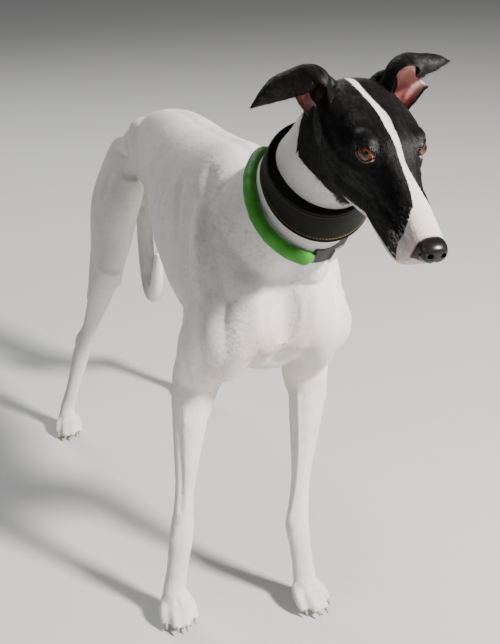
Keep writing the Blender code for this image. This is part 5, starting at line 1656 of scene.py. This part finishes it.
def tufts(name, skin, chance, count, seed):
    """Thin pointed tufts: three edges at the root, sunk a little in the skin, that meet at the tip.

    chance is how likely each triangle of the skin is to carry one, for its area. Every tuft lies along the
    hair and takes its colour from the marking at its root.
    """
    random = np.random.default_rng(seed)
    points, corners, normals = skin
    pick = random.choice(len(corners), count, p=chance / chance.sum())
    share = random.dirichlet((1, 1, 1), count)
    root = np.einsum("nk,nkc->nc", share, points[corners[pick]])
    normal = unit(np.einsum("nk,nkc->nc", share, normals[corners[pick]]))
    way, spot = unwrapped(root)
    marks = markings(root)
    _, length, lift = coat_measures(root, normal, marks["brow"])
    way = way - normal * np.sum(way * normal, axis=1, keepdims=True)
    way = unit(way + normal * 1e-4)
    side = np.cross(normal, way)
    swing = random.normal(0, 0.20, count)
    way, side = (way * np.cos(swing)[:, None] + side * np.sin(swing)[:, None],
                 side * np.cos(swing)[:, None] - way * np.sin(swing)[:, None])
    length = (length * random.uniform(0.65, 1.35, count))[:, None]
    rise = (lift * random.uniform(0.4, 1.5, count))[:, None]
    half = length * random.uniform(0.030, 0.055, count)[:, None]
    low = root - normal * ROOT_DEPTH
    tuft = np.stack([low - side * half, low + side * half, low + way * half + normal * 0.0005,
                     root + way * length + normal * (length * rise)], axis=1)
    tuft[..., 2] = np.maximum(tuft[..., 2], FLOOR_GAP)
    faces = np.array([(0, 1, 3), (1, 2, 3), (2, 0, 3), (1, 0, 2)])[None] + 4 * np.arange(count)[:, None, None]
    obj = outward(new_object(name, tuft.reshape(-1, 3), triangles=faces.reshape(-1, 3)))
    for key, values in marks.items():
        set_value(obj, key, np.repeat(values, 4))
    patch = np.array([(-0.001, -0.001), (0.001, -0.001), (0, -0.0005), (0, 0.0015)])
    places = (spot[:, None] + patch).reshape(-1, 2)
    obj.data.normals_split_custom_set_from_vertices(np.repeat(normal, 4, axis=0))
    layer = obj.data.uv_layers.new(name="OFBake")
    order = np.empty(len(obj.data.loops), np.int32)
    obj.data.loops.foreach_get("vertex_index", order)
    layer.data.foreach_set("uv", places[order].ravel())
    return obj


def make_coat(skin, bare):
    """Short tufts over the whole coat, in pieces for the head and for the body."""
    points, normals = points_of(skin), normals_of(skin)
    skin.data.calc_loop_triangles()
    corners = np.empty(len(skin.data.loop_triangles) * 3, np.int32)
    skin.data.loop_triangles.foreach_get("vertices", corners)
    corners = corners.reshape(-1, 3)
    a, b, c = points[corners].transpose(1, 0, 2)
    area = np.linalg.norm(np.cross(b - a, c - a), axis=1) / 2
    middle = (a + b + c) / 3
    normal = unit(normals[corners].sum(axis=1) + 1e-9)
    marks = markings(middle)
    density, _, _ = coat_measures(middle, normal, marks["brow"])
    open_skin = (bare[corners].max(axis=1) < 0.25) & ~under_collars(middle)
    chance = area * density * open_skin * (middle[:, 2] > SOLE_HEIGHT)
    material = coat_material("coat", bare_skin=False)
    on_head_skin, ahead = marks["brow"] > 0.5, middle[:, 1] < COAT_SPLIT
    shares = (on_head_skin, ~on_head_skin & ahead, ~on_head_skin & ~ahead)
    for (name, count, seed), share in zip(COAT_PIECES, shares):
        dress(tufts(name, (points, corners, normals), chance * share, count, seed), material, "coat")


# Stage


def aim(name, data, place, way):
    """Puts a light or camera into the scene, in its place and looking along way."""
    obj = link(name, data)
    obj.location = place
    obj.rotation_mode = "QUATERNION"
    obj.rotation_quaternion = way.to_track_quat("-Z", "Y")
    return obj


def stage():
    """Pale floor, soft light from above, and a camera where the photograph was taken."""
    points = [(x, y, 0.0) for x in (-FLOOR_REACH, FLOOR_REACH) for y in (-FLOOR_REACH, FLOOR_REACH)]
    floor = new_object("floor", points, [(0, 2, 3, 1)], shift=False)
    floor.data.materials.append(floor_material())
    for name, place, width, power, color in LIGHTS:
        light = bpy.data.lights.new(name, "AREA")
        light.shape, light.size, light.energy, light.color = "DISK", width, power, color
        aim(name, light, place, Vector(LIT_PLACE) - Vector(place))
    world = bpy.data.worlds.new("studio")
    world.use_nodes = True
    sky = world.node_tree.nodes["Background"].inputs
    sky["Color"].default_value = SKY_COLOR
    sky["Strength"].default_value = SKY_STRENGTH
    bpy.context.scene.world = world
    level = math.cos(CAMERA_PITCH)
    way = Vector((math.sin(CAMERA_YAW) * level, math.cos(CAMERA_YAW) * level, -math.sin(CAMERA_PITCH)))
    camera = aim("camera", bpy.data.cameras.new("camera"), Vector(CAMERA_PLACE + SHIFT), way)
    camera.data.sensor_fit = "VERTICAL"
    camera.data.sensor_height = SENSOR_HEIGHT
    camera.data.lens = SENSOR_HEIGHT * CAMERA_FOCUS / FRAME_HEIGHT
    bpy.context.scene.camera = camera


def cover(obj, material):
    """Makes this the only material of obj."""
    obj.data.materials.clear()
    obj.data.materials.append(material)


def dress(obj, material, slot, *nodes):
    """Gives a piece its material and puts it in place of CAD nodes. The slot is not used."""
    cover(obj, material)
    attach(obj, "root")
    if nodes:
        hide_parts(*nodes)


def padding_radius(angle):
    """The padded collar's radius: a little uneven, and pinched towards both of its ends."""
    start, end = (math.radians(a) for a in PADDED_SPAN)
    share = (angle - start) / (end - start)
    pinch = 1 - 0.45 * np.exp(-(share / 0.03) ** 2) - 0.45 * np.exp(-((1 - share) / 0.03) ** 2)
    return PADDED_COLLAR["radius"] * (1 + 0.010 * np.sin(29 * angle) + 0.012 * np.sin(17 * angle + 1)) * pinch


def leather_collar():
    """The broad strap, the piping along both of its edges and a row of stitches beside each."""
    leather = band("leather_strap", LEATHER_COLLAR, 0, 2 * math.pi,
                   flat_section(leather_half, -SUNK, LEATHER_COLLAR["thickness"], 0.0008, 0.002), 300)
    dress(leather, leather_material("strap_leather"), "leather", "collar_leather")
    edging = leather_material("edge_leather", 0.35)
    for name, sign in (("edging_upper", 1), ("edging_lower", -1)):
        section = edge_section(leather_line(sign, PIPING_INSET), PIPING_RADIUS, PIPING_OFFSET)
        dress(band(name, LEATHER_COLLAR, 0, 2 * math.pi, section, 300), edging, "leather")
    for name, sign, thread, color in (("stitching_upper", 1, "dark_thread", (0.035, 0.030, 0.012)),
                                      ("stitching_lower", -1, "gold_thread", (0.40, 0.27, 0.06))):
        dress(stitches(name, sign), thread_material(thread, color), "leather")


def padded_collar():
    """The round padded strap, the webbing that closes the ring in front, and its polished slide."""
    start, end = (math.radians(a) for a in PADDED_SPAN)
    padded = band("padded_strap", PADDED_COLLAR, start, end, tube_section(padding_radius, 1.2, 0.75), 220)
    dress(padded, woven_material("padded_cover", (0.005, 0.070, 0.001), (0.046, 0.400, 0.006), 0.0009,
                                 0.0002, 0.5, 0.0003, 0.0), "padding", "collar_padded")
    apart = GAP / PADDED_COLLAR["half"][0]
    webbing = band("webbing_strap", PADDED_COLLAR, end + apart, start + 2 * math.pi - apart,
                   flat_section(0.5 * WEBBING_HEIGHT, -SUNK, WEBBING_THICKNESS, 0.0, 0.0008), 180)
    dress(webbing, woven_material("webbing", (0.0010, 0.0010, 0.0012), (0.0065, 0.0065, 0.0075), 0.0016,
                                  0.0005, 0.55, 0.0, 0.03), "webbing", "collar_webbing")
    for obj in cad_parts.values():
        if obj.name.startswith("collar_slider"):
            cover(obj, metal_material())


def main():
    stage()
    skin = whole_skin()
    make_coat(skin, paint_skin(skin))
    set_points(skin, points_of(skin) + SHIFT)
    skin.data.shade_smooth()
    dress(skin, coat_material("skin"), "coat", "head", "neck", "torso", "tail_upper", "tail_lower",
          *(part + side for part in ("foreleg_", "hind_leg_", "ear_") for side, _ in SIDES))
    for side, sign in SIDES:
        dress(eyeball(side, sign), eye_material(), "eye", "eye_" + side)
    dress(claws(), claw_material(), "coat")
    leather_collar()
    padded_collar()


main()
